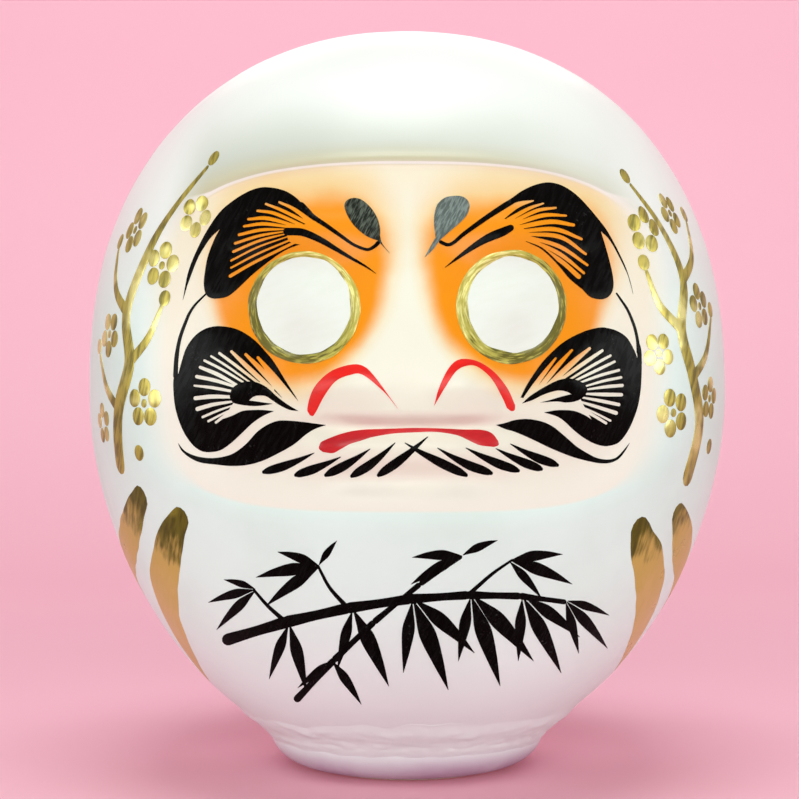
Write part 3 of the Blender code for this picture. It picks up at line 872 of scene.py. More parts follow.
def ring_gold(name, middle, radius, half_width):
    """Gold drawn round an eye, swollen between its edges. It is painted lighter above and beside the nose:
    a painted highlight.
    """
    material, tree, shader = finish(name)
    place = node(tree, "ShaderNodeTexCoord").outputs["Object"]
    offset = vector_step(tree, "SUBTRACT", place, middle)[0]
    offset = vector_step(tree, "MULTIPLY", offset, (1.0, 0.0, 1.0))[0]
    reach = vector_step(tree, "LENGTH", offset)["Value"]
    heading = vector_step(tree, "NORMALIZE", offset)[0]
    lane = node(tree, "ShaderNodeCombineXYZ", {1: calculate(tree, "MULTIPLY", reach, RING_LANES)}).outputs[0]
    path = vector_step(tree, "MULTIPLY_ADD", heading, RING_TURNS, lane)[0]
    streak = node(tree, "ShaderNodeTexNoise", {"Vector": path, "Scale": 1.0, "Detail": 4.0}).outputs[0]
    # Painted highlight: lighter above and beside the nose, darker on the far side
    to_nose = -PAINTED_LIT_SIDE[0] if middle[0] > 0.0 else PAINTED_LIT_SIDE[0]
    lit_lean = vector_step(tree, "DOT_PRODUCT", heading, (to_nose, 0.0, PAINTED_LIT_SIDE[1]))["Value"]
    light_and_streak = calculate(tree, "MULTIPLY_ADD", lit_lean, PAINTED_LIGHT_SHARE, streak)
    colour = mix_colours(tree, ramp(tree, light_and_streak, 0.3, 0.56), RING_DEEP, RING_BRIGHT)
    colour = mix_colours(tree, ramp(tree, light_and_streak, 0.58, 0.8), colour, RING_GLINT)
    tree.links.new(colour, shader.inputs["Base Color"])
    shader.inputs["Roughness"].default_value = 0.36
    shader.inputs["Metallic"].default_value = 0.25
    from_lane = calculate(tree, "DIVIDE", calculate(tree, "SUBTRACT", reach, radius), half_width)
    swelling = calculate(tree, "MULTIPLY_ADD", calculate(tree, "MULTIPLY", from_lane, from_lane), -1.0, 1.0)
    bump(tree, shader, calculate(tree, "MULTIPLY_ADD", streak, 0.5, swelling), 0.00025)
    return material


print("ring gold runs in streaks about", round(1.0 / RING_LANES / MM, 1), "mm wide")

# %% [markdown]
# ## How a brush mark is made
#
# A mark on the real doll is a film of paint a fraction of a millimetre thick, with a clean edge. A
# texture would blur that edge, so each mark is a thin closed mesh. Its outline is drawn flat, as
# smooth runs through points that meet in corners, or as a stroke whose width changes. On the face and
# the belly the points are pixels of the photograph. The flat shape is filled with triangles, each point
# is carried onto the skin along a ray, and the film then gets its thickness along the skin's normals,
# thinner at the edge than inside.

# %% Lines, outlines and strokes
def flowing(points, step):
    """A smooth line through points. A point may carry a third number, such as a width."""
    ends = np.array(points, float)
    padded = np.vstack([2.0 * ends[0] - ends[1], ends, 2.0 * ends[-1] - ends[-2]])
    line = []
    for a, b, c, d in zip(padded, padded[1:], padded[2:], padded[3:]):
        pieces = max(2, math.ceil(np.linalg.norm((c - b)[:2]) / step))
        t = np.linspace(0.0, 1.0, pieces, endpoint=False)[:, None]
        line.append(0.5 * (2.0 * b + (c - a) * t + (2.0 * a - 5.0 * b + 4.0 * c - d) * t ** 2
                           + (3.0 * b - 3.0 * c + d - a) * t ** 3))
    return np.vstack([*line, ends[-1:]])


def outline(*runs, step=1.6):
    """A closed outline of smooth runs. Each run starts where the last one ended, in a corner."""
    return np.vstack([flowing(run, step)[:-1] for run in runs])


def oval_outline(x, y, half_width, half_height, points=72):
    """A closed oval outline."""
    turns = np.linspace(0.0, 2.0 * math.pi, points, endpoint=False)
    return np.stack([x + half_width * np.cos(turns), y + half_height * np.sin(turns)], -1)


def stroke(points, step=1.6):
    """The outline of a brush stroke through points of (x, y, width), with round ends."""
    line = flowing(points, step)
    along = np.gradient(line[:, :2], axis=0)
    along /= np.maximum(np.linalg.norm(along, axis=1), 1e-9)[:, None]
    half = np.maximum(line[:, 2:], 0.05 * step) / 2.0
    side = np.stack([-along[:, 1], along[:, 0]], -1) * half
    turns = np.linspace(0.0, math.pi, 7)[1:-1, None]
    end_cap = line[-1, :2] + np.cos(turns) * side[-1] + np.sin(turns) * along[-1] * half[-1]
    start_cap = line[0, :2] - np.cos(turns) * side[0] - np.sin(turns) * along[0] * half[0]
    return np.vstack([line[:, :2] + side, end_cap, (line[:, :2] - side)[::-1], start_cap])


def hand_drawn(loop, sway, run):
    """An outline as a hand leaves it: pushed in and out by up to sway, in runs of about that length."""
    along = np.roll(loop, -1, axis=0) - np.roll(loop, 1, axis=0)
    along = along / np.maximum(np.linalg.norm(along, axis=1), 1e-9)[:, None]
    outward = np.stack([along[:, 1], -along[:, 0]], -1)
    push = np.array([noise.noise(Vector((x / run, y / run, sway))) for x, y in loop])
    return loop + sway * push[:, None] * outward


print("a stroke of two points has", len(stroke([(0, 0, 4), (40, 0, 8)])), "outline points")

# %% Carry flat points onto the skin
skin_tree = BVHTree.FromPolygons([Vector(p) for p in skin_vertices], skin_faces)
PHOTO_MIDDLE = PHOTO_SIZE / 2.0


def along_view(x, y):
    """Where a pixel of the photograph lies on the skin, and the skin's normal there."""
    ray = Vector(((x - PHOTO_MIDDLE) / FOCAL_PIXELS, 1.0, (PHOTO_MIDDLE - y) / FOCAL_PIXELS))
    place, normal, _, _ = skin_tree.ray_cast(CAMERA_PLACE, ray.normalized())
    return place, normal


def wrapped(x, y):
    """Where a point of a flat wrapper lies: x mm round the equator from the front, y mm up."""
    turn = x * MM / BODY_RADIUS
    outward = Vector((math.sin(turn), -math.cos(turn), 0.0))
    start = outward * 2.0 * BODY_RADIUS + Vector((0.0, 0.0, y * MM))
    place, normal, _, _ = skin_tree.ray_cast(start, -outward)
    return place, normal


print("the photograph's middle lies at", [round(c, 4) for c in along_view(PHOTO_MIDDLE, PHOTO_MIDDLE)[0]])

# %% Fill an outline
# In shares of the spacing: how far apart rows of points are, and how far from an outline they begin
ROW_SHARE = 0.87
CLEAR_SHARE = 0.55
MERGE_DISTANCE = 0.01
INSIDE_ONLY = 1


def facing_one_way(loop):
    """The loop, turned so that its area is positive."""
    x, y = loop[:, 0], loop[:, 1]
    area = np.sum(x * np.roll(y, -1) - np.roll(x, -1) * y)
    return loop if area > 0.0 else loop[::-1]


def fill(painted, bare, over, spacing):
    """Triangles for the painted loops, less the bare ones, plus those painted over the rest."""
    loops = [facing_one_way(np.asarray(loop)) for loop in (*painted, *bare, *over)]
    points = np.vstack(loops)
    starts = np.cumsum([0, *[len(loop) for loop in loops]])
    borders = [list(range(a, b)) for a, b in zip(starts, starts[1:])]
    low, high = points.min(0), points.max(0)
    across, up = np.arange(low[0], high[0], spacing), np.arange(low[1], high[1], spacing * ROW_SHARE)
    grid_x, grid_y = np.meshgrid(across, up)
    grid_x[1::2] += spacing / 2.0
    grid = np.stack([grid_x.ravel(), grid_y.ravel()], -1)
    nearest = np.array([np.min(np.sum((points - spot) ** 2, axis=1)) for spot in grid])
    points = np.vstack([points, grid[nearest > (CLEAR_SHARE * spacing) ** 2]])
    spots = [Vector(point) for point in points]
    flat, _, triangles, _, _, owners = delaunay_2d_cdt(spots, [], borders, INSIDE_ONLY, MERGE_DISTANCE, True)
    first_bare, first_over = len(painted), len(painted) + len(bare)
    kept = []
    for triangle, loops_here in zip(triangles, owners):
        is_painted = any(loop < first_bare for loop in loops_here)
        is_bare = any(first_bare <= loop < first_over for loop in loops_here)
        if any(loop >= first_over for loop in loops_here) or (is_painted and not is_bare):
            kept.append(triangle)
    return flat, kept


spot = oval_outline(0.0, 0.0, 20.0, 20.0)
print("a round spot is filled with", len(fill([spot], [], [], 4.0)[1]), "triangles")

# %% Give a film its thickness
FILM_SINK = 0.3 * MM
EDGE_SHARE = 0.55
FEWEST_TRIANGLES = 14


def without_crumbs(triangles):
    """The triangles, less small groups of them that touch no others."""
    groups = {}
    for triangle in triangles:
        merged = {"corners": set(triangle), "triangles": [triangle]}
        for group in {id(groups[c]): groups[c] for c in triangle if c in groups}.values():
            if len(group["triangles"]) > len(merged["triangles"]):
                merged, group = group, merged
            merged["corners"] |= group["corners"]
            merged["triangles"] += group["triangles"]
            groups.update(dict.fromkeys(group["corners"], merged))
        groups.update(dict.fromkeys(triangle, merged))
    whole = {id(group): group for group in groups.values() if len(group["triangles"]) >= FEWEST_TRIANGLES}
    return [triangle for group in whole.values() for triangle in group["triangles"]]


def film(name, paint, painted, bare=(), over=(), rise=0.25 * MM, spacing=4.0, carry=along_view):
    """A closed film of paint on the skin."""
    flat, triangles = fill(painted, bare, over, spacing)
    triangles = without_crumbs(triangles)
    used = sorted({corner for triangle in triangles for corner in triangle})
    index = {corner: number for number, corner in enumerate(used)}
    triangles = [[index[corner] for corner in triangle] for triangle in triangles]
    sides = {}
    for a, b, c in triangles:
        for edge in ((a, b), (b, c), (c, a)):
            sides[frozenset(edge)] = None if frozenset(edge) in sides else edge
    border = [edge for edge in sides.values() if edge]
    rim = {corner for edge in border for corner in edge}
    top, under = [], []
    for number, corner in enumerate(used):
        place, normal = carry(*flat[corner])
        top.append(place + normal * rise * (EDGE_SHARE if number in rim else 1.0))
        under.append(place - normal * FILM_SINK)
    count = len(used)
    faces = triangles + [[corner + count for corner in reversed(triangle)] for triangle in triangles]
    faces += [[b, a, a + count, b + count] for a, b in border]
    piece = new_piece(name, top + under, faces)
    piece.data.materials.append(paint)
    return piece


print(f"a film reaches {FILM_SINK / MM:.1f} mm into the skin")

# %% [markdown]
# ## Eyes
#
# The eyes are left white for the owner to fill in: a smooth white disc in a ring of streaky gold. The
# ring is painted last, over the edge of the white.

# %% Eye whites and gold rings
# Centre of the ring, its outer half width and half height, then the same for the white, in pixels
EYES = {
    "left": ((304.3, 307.7, 56.0, 56.5), (304.3, 305.5, 47.0, 49.0)),
    "right": ((511.2, 307.0, 55.0, 57.0), (512.8, 305.0, 45.5, 48.0)),
}
# How far the white runs under the ring, then how far an edge sways and in what runs, in pixels
WHITE_LAP = 3.0
OUTER_SWAY = (1.2, 17.0)
INNER_SWAY = (1.6, 13.0)
for side, (ring_oval, white_oval) in EYES.items():
    x, y, half_width, half_height = white_oval
    white = oval_outline(x, y, half_width + WHITE_LAP, half_height + WHITE_LAP)
    film(f"eye_white_{side}", EYE_WHITE, [white], rise=0.15 * MM)
    outside = hand_drawn(oval_outline(*ring_oval), *OUTER_SWAY)
    inside = hand_drawn(oval_outline(*white_oval), *INNER_SWAY)
    middle = along_view(*ring_oval[:2])[0]
    tops = [along_view(ring_oval[0], y - reach)[0] for reach in (half_height, ring_oval[3])]
    inner_edge, outer_edge = [abs(top.z - middle.z) for top in tops]
    radius, half_stroke = (inner_edge + outer_edge) / 2.0, (outer_edge - inner_edge) / 2.0
    paint = ring_gold(f"ring_gold_{side}", middle, radius, half_stroke)
    film(f"eye_ring_{side}", paint, [outside], [inside], rise=0.3 * MM, spacing=2.4)
print("eyes painted:", ", ".join(EYES))

# %% [markdown]
# ## Crane brows
#
# Each brow is a crane in flight: a heavy black wing whose feathers are combed out of the wet paint, a
# long neck that dips towards the nose, a second feather below it, and a round head with a beak. The
# comb's lines are bare slits in the wing. They are strokes too, from the outer end to the inner.

# %% Crane on the left
def combed(slits):
    """Bare slits, each through an outer, a middle and an inner point of (x, y, width)."""
    return [stroke(slit) for slit in slits]


CRANE_LEFT_WING = outline(
    [(309, 210.5), (302, 203.6), (296.3, 197.9), (287.7, 192.1), (279, 189), (270.6, 187.6), (262, 187.4),
     (250.6, 190.6), (236.3, 198.6), (221.5, 210.5), (211, 224.5), (202.5, 239), (193.5, 258),
     (187.5, 275.5), (183, 300)],
    [(183, 300), (186, 290), (189, 281), (197.5, 259), (204, 247.5), (211, 237.5), (220, 229)],
    [(220, 229), (214, 240.5), (208, 256.5), (205, 272.5), (204, 284.5), (206, 294), (211, 298),
     (218.5, 298.5), (228.5, 296), (239, 287.5), (252, 275), (265.5, 264), (278.5, 254.5), (289, 248.5),
     (300, 244.5)],
    [(300, 244.5), (292.5, 243), (288, 239.5), (286.5, 228)],
    [(286.5, 228), (296, 226.5), (305, 224), (312, 221.5), (318, 219.6)],
    [(318, 219.6), (309, 210.5)],
)
CRANE_LEFT_SLITS = [
    [(279.5, 202.3, 2.4), (294, 209.2, 3.8), (313, 223.4, 5.4)],
    [(266, 204, 2.4), (282.5, 210.6, 3.4), (308, 223.2, 3.8)],
    [(257.6, 210.8, 2.6), (275, 213.6, 3.6), (302, 225.4, 3.6)],
    [(248.4, 219.2, 2.6), (268, 218.5, 4.0), (296, 226.2, 3.2)],
    [(244.2, 226.3, 2.6), (264, 223.9, 3.6), (290, 227, 2.6)],
    [(239.2, 234.8, 3.0), (261, 230, 3.4), (286.6, 229.2, 1.4)],
    [(235.2, 243.4, 2.8), (259.4, 235.8, 3.0), (286.6, 231.2, 1.3)],
    [(233.4, 251.7, 2.8), (259.4, 240.8, 2.8), (286.6, 233.6, 1.3)],
    [(231.2, 260.6, 2.2), (258, 247.1, 2.1), (288, 236.5, 1.3)],
    [(231.2, 267.8, 2.2), (258, 253.7, 2.3), (290.5, 239.9, 2.1)],
    [(230.4, 276, 3.6), (255, 262, 3.2), (297, 241.2, 2.8)],
]
CRANE_LEFT_NECK = [(301, 205.8, 7.6), (307, 211.4, 6.6), (313.4, 217.1, 5), (327.7, 226.6, 4.2),
                   (341.3, 236.2, 3.6), (352.5, 244, 3), (362.5, 248.5, 3), (369, 249.4, 3),
                   (375, 246, 3.5), (378, 243, 4)]
CRANE_LEFT_FEATHER = [(287, 231.6, 7.5), (300, 232, 7.5), (310, 235, 7), (322.5, 241, 6), (336, 249, 4.5),
                      (351, 258, 3.2), (365, 266, 2), (376, 273.5, 0.3)]
CRANE_LEFT_HEAD = outline(
    [(377.5, 240.5), (366.5, 236), (355, 226.5), (347.5, 215.5), (344.5, 206), (347, 200.5), (353.5, 198),
     (362, 200), (371, 208), (377.5, 218.5), (380, 228.5), (380, 236)],
    [(380, 236), (382.5, 244), (390, 253.5)],
    [(390, 253.5), (382, 245), (377.5, 240.5)],
)
film("crane_brow_left", BLACK, [CRANE_LEFT_WING], combed(CRANE_LEFT_SLITS),
     [stroke(CRANE_LEFT_NECK), stroke(CRANE_LEFT_FEATHER)])
# The head is painted grey: a painted sheen
film("crane_head_left", DARK_HEAD_SHEEN, [CRANE_LEFT_HEAD], rise=0.3 * MM)
print("left crane with", len(CRANE_LEFT_SLITS), "combed slits")

# %% Crane on the right
CRANE_RIGHT_WING = outline(
    [(507, 201.5), (513.3, 197), (523.3, 190.2), (535, 185), (547, 182.5), (557.5, 184), (567.5, 188.5),
     (578, 196.5), (588, 207), (598.5, 219.5), (607, 231), (616, 247), (625, 266), (630, 281),
     (633, 294)],
    [(633, 294), (630, 282.5), (626, 271), (615, 249), (608, 238), (600.6, 231)],
    [(600.6, 231), (605.5, 247), (610, 263.5), (613, 278), (613, 288), (610, 295), (604, 299), (597, 299),
     (589.5, 296.5), (581, 288), (570.5, 278.5), (561.5, 268.5), (551.5, 258), (543, 250.5)],
    [(543, 250.5), (537, 242.5), (531.5, 236.5), (530, 233.4), (524, 228.9), (519, 225), (515.8, 221),
     (512.5, 219.4), (506, 219), (500, 218.6)],
    [(500, 218.6), (507, 201.5)],
)
CRANE_RIGHT_SLITS = [
    [(533, 200.8, 1.6), (516, 205.8, 6.2), (496, 220, 9)],
    [(543.3, 203.4, 1.8), (528.3, 208.8, 3.6), (508, 220.2, 4.8)],
    [(555.8, 207.8, 2.2), (536.7, 210.8, 3.8), (512, 222.4, 4.0)],
    [(566, 215.6, 2.2), (543.3, 215.4, 4.2), (516, 223.8, 4.2)],
    [(573.4, 225, 3.4), (550, 221.8, 4.8), (518, 227.4, 4.4)],
    [(581.4, 239, 2.8), (555, 229.4, 4.6), (522, 231, 3.6)],
    [(585.6, 254, 2.8), (560, 237, 4.4), (526, 234, 3.4)],
    [(587.2, 265, 2.8), (560, 246.8, 4.2), (529, 237.4, 3.4)],
    [(583.8, 273, 2.8), (560, 254.2, 4.2), (532, 240.6, 3.2)],
    [(578.6, 276.6, 5.0), (561, 261.2, 4.6), (535, 244.2, 3.6)],
]
CRANE_RIGHT_EDGE = [(582, 286, 5), (570, 277, 3), (560.5, 266.4, 2), (550, 255.4, 1.8), (540, 247.4, 1.6),
                    (526, 241.4, 0.4)]
CRANE_RIGHT_NECK = [(440.6, 242, 3.5), (447.5, 244.8, 3.5), (453.8, 242.5, 3.5), (462.5, 235, 4),
                    (472.5, 227.6, 4.4), (480, 222.2, 4.8), (488, 216.6, 5), (496.7, 210.9, 5.4),
                    (505, 205.6, 5.8), (513.3, 200.6, 5.6)]
CRANE_RIGHT_FEATHER = [(445, 267.5, 0.3), (457.5, 258, 3), (470, 249, 5), (482.5, 241, 7),
                       (492.5, 236, 8.5), (502.5, 232, 8.5), (510.6, 228, 6.5)]
CRANE_RIGHT_HEAD = outline(
    [(439, 241), (448.5, 232.5), (459, 223.5), (466.5, 215.5), (469.5, 207.5), (468, 201), (462, 196.5),
     (453, 196), (444.5, 198), (437.5, 204.5), (434.5, 214), (434, 223.5), (435, 232.5), (435.5, 237.5)],
    [(435.5, 237.5), (431, 245.5), (424.5, 257.5)],
    [(424.5, 257.5), (433, 249.5), (439, 241)],
)
film("crane_brow_right", BLACK, [CRANE_RIGHT_WING], combed(CRANE_RIGHT_SLITS),
     [stroke(CRANE_RIGHT_NECK), stroke(CRANE_RIGHT_FEATHER), stroke(CRANE_RIGHT_EDGE)])
# The head is painted grey: a painted sheen
film("crane_head_right", PALE_HEAD_SHEEN, [CRANE_RIGHT_HEAD], rise=0.3 * MM)
print("right crane with", len(CRANE_RIGHT_SLITS), "combed slits")

# %% [markdown]
# ## Tortoise cheeks
#
# Under each eye sits a tortoise: a round black shell with a fan of combed slits that meet in a hub, a
# lower lobe that sweeps in towards the mouth, and a thin line that curls up at its outer side.

# %% Tortoise on the left
TORTOISE_LEFT_SHELL = outline(
    [(175.5, 371), (173.5, 381.5), (174, 396.5), (176, 410), (180.5, 424.5), (186.5, 436.5),
     (194.5, 446.5), (203, 451.5), (212, 452), (221, 450), (230.5, 443.5), (240.5, 434.5), (251.5, 424),
     (262, 416.5), (274, 411)],
    [(274, 411), (263, 410), (253, 410), (242.5, 411), (232.5, 415.5), (223, 419)],
    [(223, 419), (232, 405), (240, 395), (252, 384), (263, 382.5), (273, 389.5), (283, 398.5), (292, 404),
     (300.5, 405.5)],
    [(300.5, 405.5), (296.5, 398), (285.5, 380.5), (274, 362), (265, 351), (255, 340.5), (244.5, 333),
     (234.5, 328.5), (224, 326.5), (214, 326.5), (204, 329.5), (194.5, 336.5), (186.5, 348), (182, 361),
     (178.5, 374)],
    [(178.5, 374), (175.5, 371)],
)
TORTOISE_LEFT_SLITS = [
    [(258, 357.6, 3.0), (272.5, 375, 6.0), (296, 403.5, 6.6)],
    [(245.8, 354.5, 3.0), (262.3, 371, 5.4), (286, 398, 5.6)],
    [(231.6, 351.6, 3.0), (248, 367.4, 4.8), (272, 389.6, 5.0)],
    [(219.5, 353.3, 2.8), (236.6, 366, 3.2), (258, 382.6, 2.6)],
    [(211.2, 356.2, 2.2), (228, 366.8, 2.5), (249, 381.6, 1.8)],
    [(204.5, 360.5, 2.6), (222.3, 369.6, 2.8), (243, 382, 2.2)],
    [(200.3, 367.3, 3.2), (218, 374.6, 4.0), (237.5, 385.4, 2.6)],
    [(196.8, 376.6, 3.6), (215, 380.4, 3.7), (235, 386.6, 2.6)],
    [(194.4, 385.6, 2.0), (213, 387.8, 3.2), (233, 391.4, 2.6)],
    [(195.4, 398.2, 4.0), (212, 396.6, 4.2), (231, 396.9, 3.2)],
    [(197.6, 409, 4.4), (213, 404.6, 3.8), (232, 401.6, 2.2)],
    [(202.8, 417, 2.6), (218, 410.6, 2.4), (236, 404.4, 1.4)],
    [(208.4, 421.2, 2.4), (222, 414.2, 2.2), (239, 406, 1.4)],
    [(216, 422.4, 2.6), (228, 413.8, 3.2), (243, 408.2, 4.2), (258, 407.5, 4.6), (276, 407, 5.5)],
]
TORTOISE_LEFT_CURL = [(206, 294, 1.6), (196, 304, 2.2), (190, 312.5, 2.6), (185.6, 322.5, 3),
                      (181, 335, 3.3), (178, 347.5, 3.6), (176.3, 361, 4.2), (175.6, 376, 4.6)]
TORTOISE_LEFT_HUB = outline(
    [(298.5, 411), (287.5, 404.4), (277, 396.6), (269, 389.2), (262, 384.5), (255, 382), (246.5, 381.6),
     (238.5, 383.8), (232.5, 388.5), (230, 395.5), (231.5, 400.5), (235.5, 403.5), (246.5, 405.5),
     (257, 406), (266, 405), (273, 403.8)],
    [(273, 403.8), (266, 402.8), (257, 401.5), (249, 400.5)],
    [(249, 400.5), (254, 396.5), (260, 395.5), (266, 396.2), (272, 400), (279.5, 405), (289.5, 409.8),
     (298.5, 411)],
)
film("tortoise_cheek_left", BLACK, [TORTOISE_LEFT_SHELL],
     combed(TORTOISE_LEFT_SLITS), [stroke(TORTOISE_LEFT_CURL), TORTOISE_LEFT_HUB])
print("left tortoise with", len(TORTOISE_LEFT_SLITS), "combed slits")

# %% Tortoise on the right
TORTOISE_RIGHT_SHELL = outline(
    [(637.5, 341), (640.5, 347), (641.5, 356), (641.5, 371), (640.5, 389.5), (637.5, 407), (631.5, 423.5),
     (625.5, 434.5), (618.5, 442.5), (611, 445.5), (603, 446), (593, 443), (582.5, 437), (572.5, 429),
     (564, 421), (556, 416), (544, 412.5)],
    [(544, 412.5), (554, 410.5), (564, 410), (574.5, 411), (584.5, 415), (591.5, 419.5)],
    [(591.5, 419.5), (583, 404), (577, 392), (566, 380), (556, 379), (546, 384), (536, 391), (527, 398),
     (520.5, 397.5)],
    [(520.5, 397.5), (526.5, 385.5), (534.5, 373), (542.5, 362), (551, 353), (561, 344), (572, 337),
     (584, 331.5), (592, 329), (600, 327.5), (607, 328), (617, 331), (626.5, 337.5), (633.5, 349),
     (637.5, 359)],
    [(637.5, 359), (637, 350), (637.5, 341)],
)
TORTOISE_RIGHT_SLITS = [
    [(555.6, 358.4, 2.2), (545, 372, 4.2), (534, 387, 5.4), (523.5, 402.5, 5.6)],
    [(571.8, 350.2, 2.4), (556.7, 367, 5.0), (536, 392.5, 5.4)],
    [(589.6, 348.4, 3.0), (571.7, 363.6, 5.6), (543, 391, 5.4)],
    [(602.2, 350.6, 3.0), (583.3, 363.6, 4.0), (560, 380, 3.2)],
    [(610.4, 355.6, 2.6), (591.7, 366, 3.0), (569.5, 379.6, 2.0)],
    [(614.6, 361.6, 2.6), (596.7, 370.2, 3.2), (576, 380.2, 2.2)],
    [(618.8, 370.2, 2.8), (600, 375.4, 3.0), (580.5, 382.4, 2.0)],
    [(621, 377.4, 2.8), (603.3, 381, 2.8), (585.5, 386.2, 1.8)],
    [(622.2, 385.4, 3.4), (605, 386.9, 3.2), (586, 389.6, 1.6)],
    [(621.4, 394.7, 3.6), (604.2, 394.5, 3.8), (586, 393.8, 2.0)],
    [(618.8, 404.6, 3.4), (600.8, 400.9, 3.4), (582, 397.4, 1.8)],
    [(616, 413, 4.0), (596.7, 406.8, 3.4), (575.5, 400.3, 1.8)],
    [(610.2, 420.6, 2.4), (590.8, 410.9, 2.0), (569, 401.8, 1.2)],
    [(606, 423.2, 2.8), (593.3, 415.4, 3.2), (580, 408.6, 4.0), (566, 405.6, 5), (552, 406, 6),
     (538.5, 408, 7)],
]
TORTOISE_RIGHT_CURL = [(616.5, 293.5, 1.6), (621, 300, 2), (627, 309, 2.4), (631.5, 319, 2.6),
                       (635, 329, 2.8), (637.5, 341, 3), (638.5, 352, 4)]
TORTOISE_RIGHT_HUB = outline(
    [(522, 403.5), (529.5, 396.5), (538.5, 390.5), (548, 385), (555, 381.5), (560.5, 379.5),
     (568.5, 378.5), (576.5, 380), (583.5, 383.5), (587, 389), (585.5, 394.5), (580.5, 399),
     (574.5, 401.5), (566, 402.5), (556, 401.5), (540, 402.5)],
    [(540, 402.5), (550, 400), (560, 397), (571.5, 394)],
    [(571.5, 394), (566, 391.5), (559, 390.5), (551, 392), (541.5, 395.5), (532.5, 400), (522, 403.5)],
)
film("tortoise_cheek_right", BLACK, [TORTOISE_RIGHT_SHELL],
     combed(TORTOISE_RIGHT_SLITS), [stroke(TORTOISE_RIGHT_CURL), TORTOISE_RIGHT_HUB])
print("right tortoise with", len(TORTOISE_RIGHT_SLITS), "combed slits")

# %% [markdown]
# ## Nose, mouth and whiskers
#
# Two red arcs mark the wings of the nose, and a red stroke with drooping ends is the mouth. A black
# wing of moustache sweeps out on each side, and ten short whiskers fall below the mouth. Each whisker
# starts in a tip and ends in the round blob of a lifted brush.

# %% Red marks
NOSE_LEFT = outline(
    [(310, 415), (307.5, 408), (314, 388), (330, 372), (349.6, 365), (363, 366), (375, 377),
     (398.6, 409.6)],
    [(398.6, 409.6), (384, 392), (363, 375), (350, 375), (336, 381), (325, 395), (316, 412)],
    [(316, 412), (313, 416), (310, 415)],
)
NOSE_RIGHT = outline(
    [(434, 406), (439, 388), (447.5, 370), (456, 361), (466, 359), (479, 362), (494, 372), (507, 388),
     (515, 405)],
    [(515, 405), (514.5, 410), (511, 411), (507, 408)],
    [(507, 408), (501, 395), (491, 378), (477, 366.5), (466, 366), (456, 371.5), (446, 386), (434, 406)],
)
MOUTH = outline(
    [(320, 444), (323, 441), (341, 434), (360, 430), (383, 429), (416, 428), (446, 428.7), (462, 429.5),
     (482, 430), (492, 433.5), (498, 441)],
    [(498, 441), (498.5, 445), (494, 447)],
    [(494, 447), (479, 445), (466, 439), (456, 435), (436, 432), (413, 432.5), (393, 433.6), (373, 437),
     (360, 441), (350, 444), (341, 449), (333, 453), (323, 452)],
    [(323, 452), (319, 448.5), (320, 444)],
)
film("nose_arc_left", RED, [NOSE_LEFT], spacing=2.4)
film("nose_arc_right", RED, [NOSE_RIGHT], spacing=2.4)
film("mouth_stroke", CRIMSON, [MOUTH], spacing=2.4)
print("nose arcs and mouth painted")

# %% Moustache and whiskers
MOUSTACHE = {
    "left": outline(
        [(326, 425), (315, 423.5), (301, 421.7), (287, 420.5), (277, 421), (267, 425), (257, 432),
         (246, 444), (234, 453), (222, 457), (209, 458), (196, 456), (185, 451), (178, 443)],
        [(178, 443), (182, 451), (190.5, 458), (201, 462.6), (216, 464.6), (231, 466), (247, 465),
         (262, 461), (277, 454), (293, 445), (306, 434.5), (315, 429), (326, 425)],
    ),
    "right": outline(
        [(496, 425), (505, 423), (515, 420), (527, 419), (540, 421), (552, 426), (564, 435.5), (576, 446),
         (587, 453), (597, 458), (607, 459.5), (615, 458), (621, 453), (629.5, 443)],
        [(629.5, 443), (625, 451), (619, 458.5), (611, 462.6), (602, 463.4), (592, 462), (576, 458),
         (562, 453), (548, 447), (531.5, 439), (515, 432), (505, 429), (496, 425)],
    ),
}
# Each whisker runs from its tip, through a bend, to its round end
WHISKER_WIDTHS = ((0.0, 0.8), (0.3, 5.0), (0.62, 8.8), (0.84, 8.4), (0.95, 6.2), (1.0, 3.8))
WHISKERS = {
    "left": [
        [(314, 453), (290, 464), (264, 472)], [(340.5, 457), (319, 467), (296, 475)],
        [(370, 449), (349, 463), (326, 475)], [(395, 443), (375, 461), (352, 476)],
        [(427.6, 437), (404, 457), (378.7, 475)],
    ],
    "right": [
        [(405, 443), (427.6, 456), (466, 475)], [(437.5, 448), (464, 463), (491, 473)],
        [(466, 448), (492, 461), (518, 470.6)], [(496, 448.6), (518, 460), (541, 469)],
        [(510.5, 444), (533, 456), (557, 465)],
    ],
}


def whisker(points):
    """A leaf-shaped stroke: thin at its tip, fullest near its round end."""
    line = flowing(points, 1.0)
    return stroke([(*line[round(share * (len(line) - 1))], width) for share, width in WHISKER_WIDTHS])


for side, wing in MOUSTACHE.items():
    film(f"moustache_{side}", BLACK, [wing])
    hairs = [whisker(line) for line in WHISKERS[side]]
    film(f"whiskers_{side}", BLACK, [], over=hairs, rise=0.3 * MM, spacing=2.4)
print("moustache and", sum(len(lines) for lines in WHISKERS.values()), "whiskers painted")

# %% [markdown]
# ## Gold stripes and plum branches
#
# Two broad gold strokes on each flank stand for the folds of a robe. Above them, beside the face, the
# doll carries gold ornament: here a flowering plum branch, an old good-luck motif. All of it lies
# far round the sides, so it is drawn on a flat wrapper, in millimetres round the body and up.

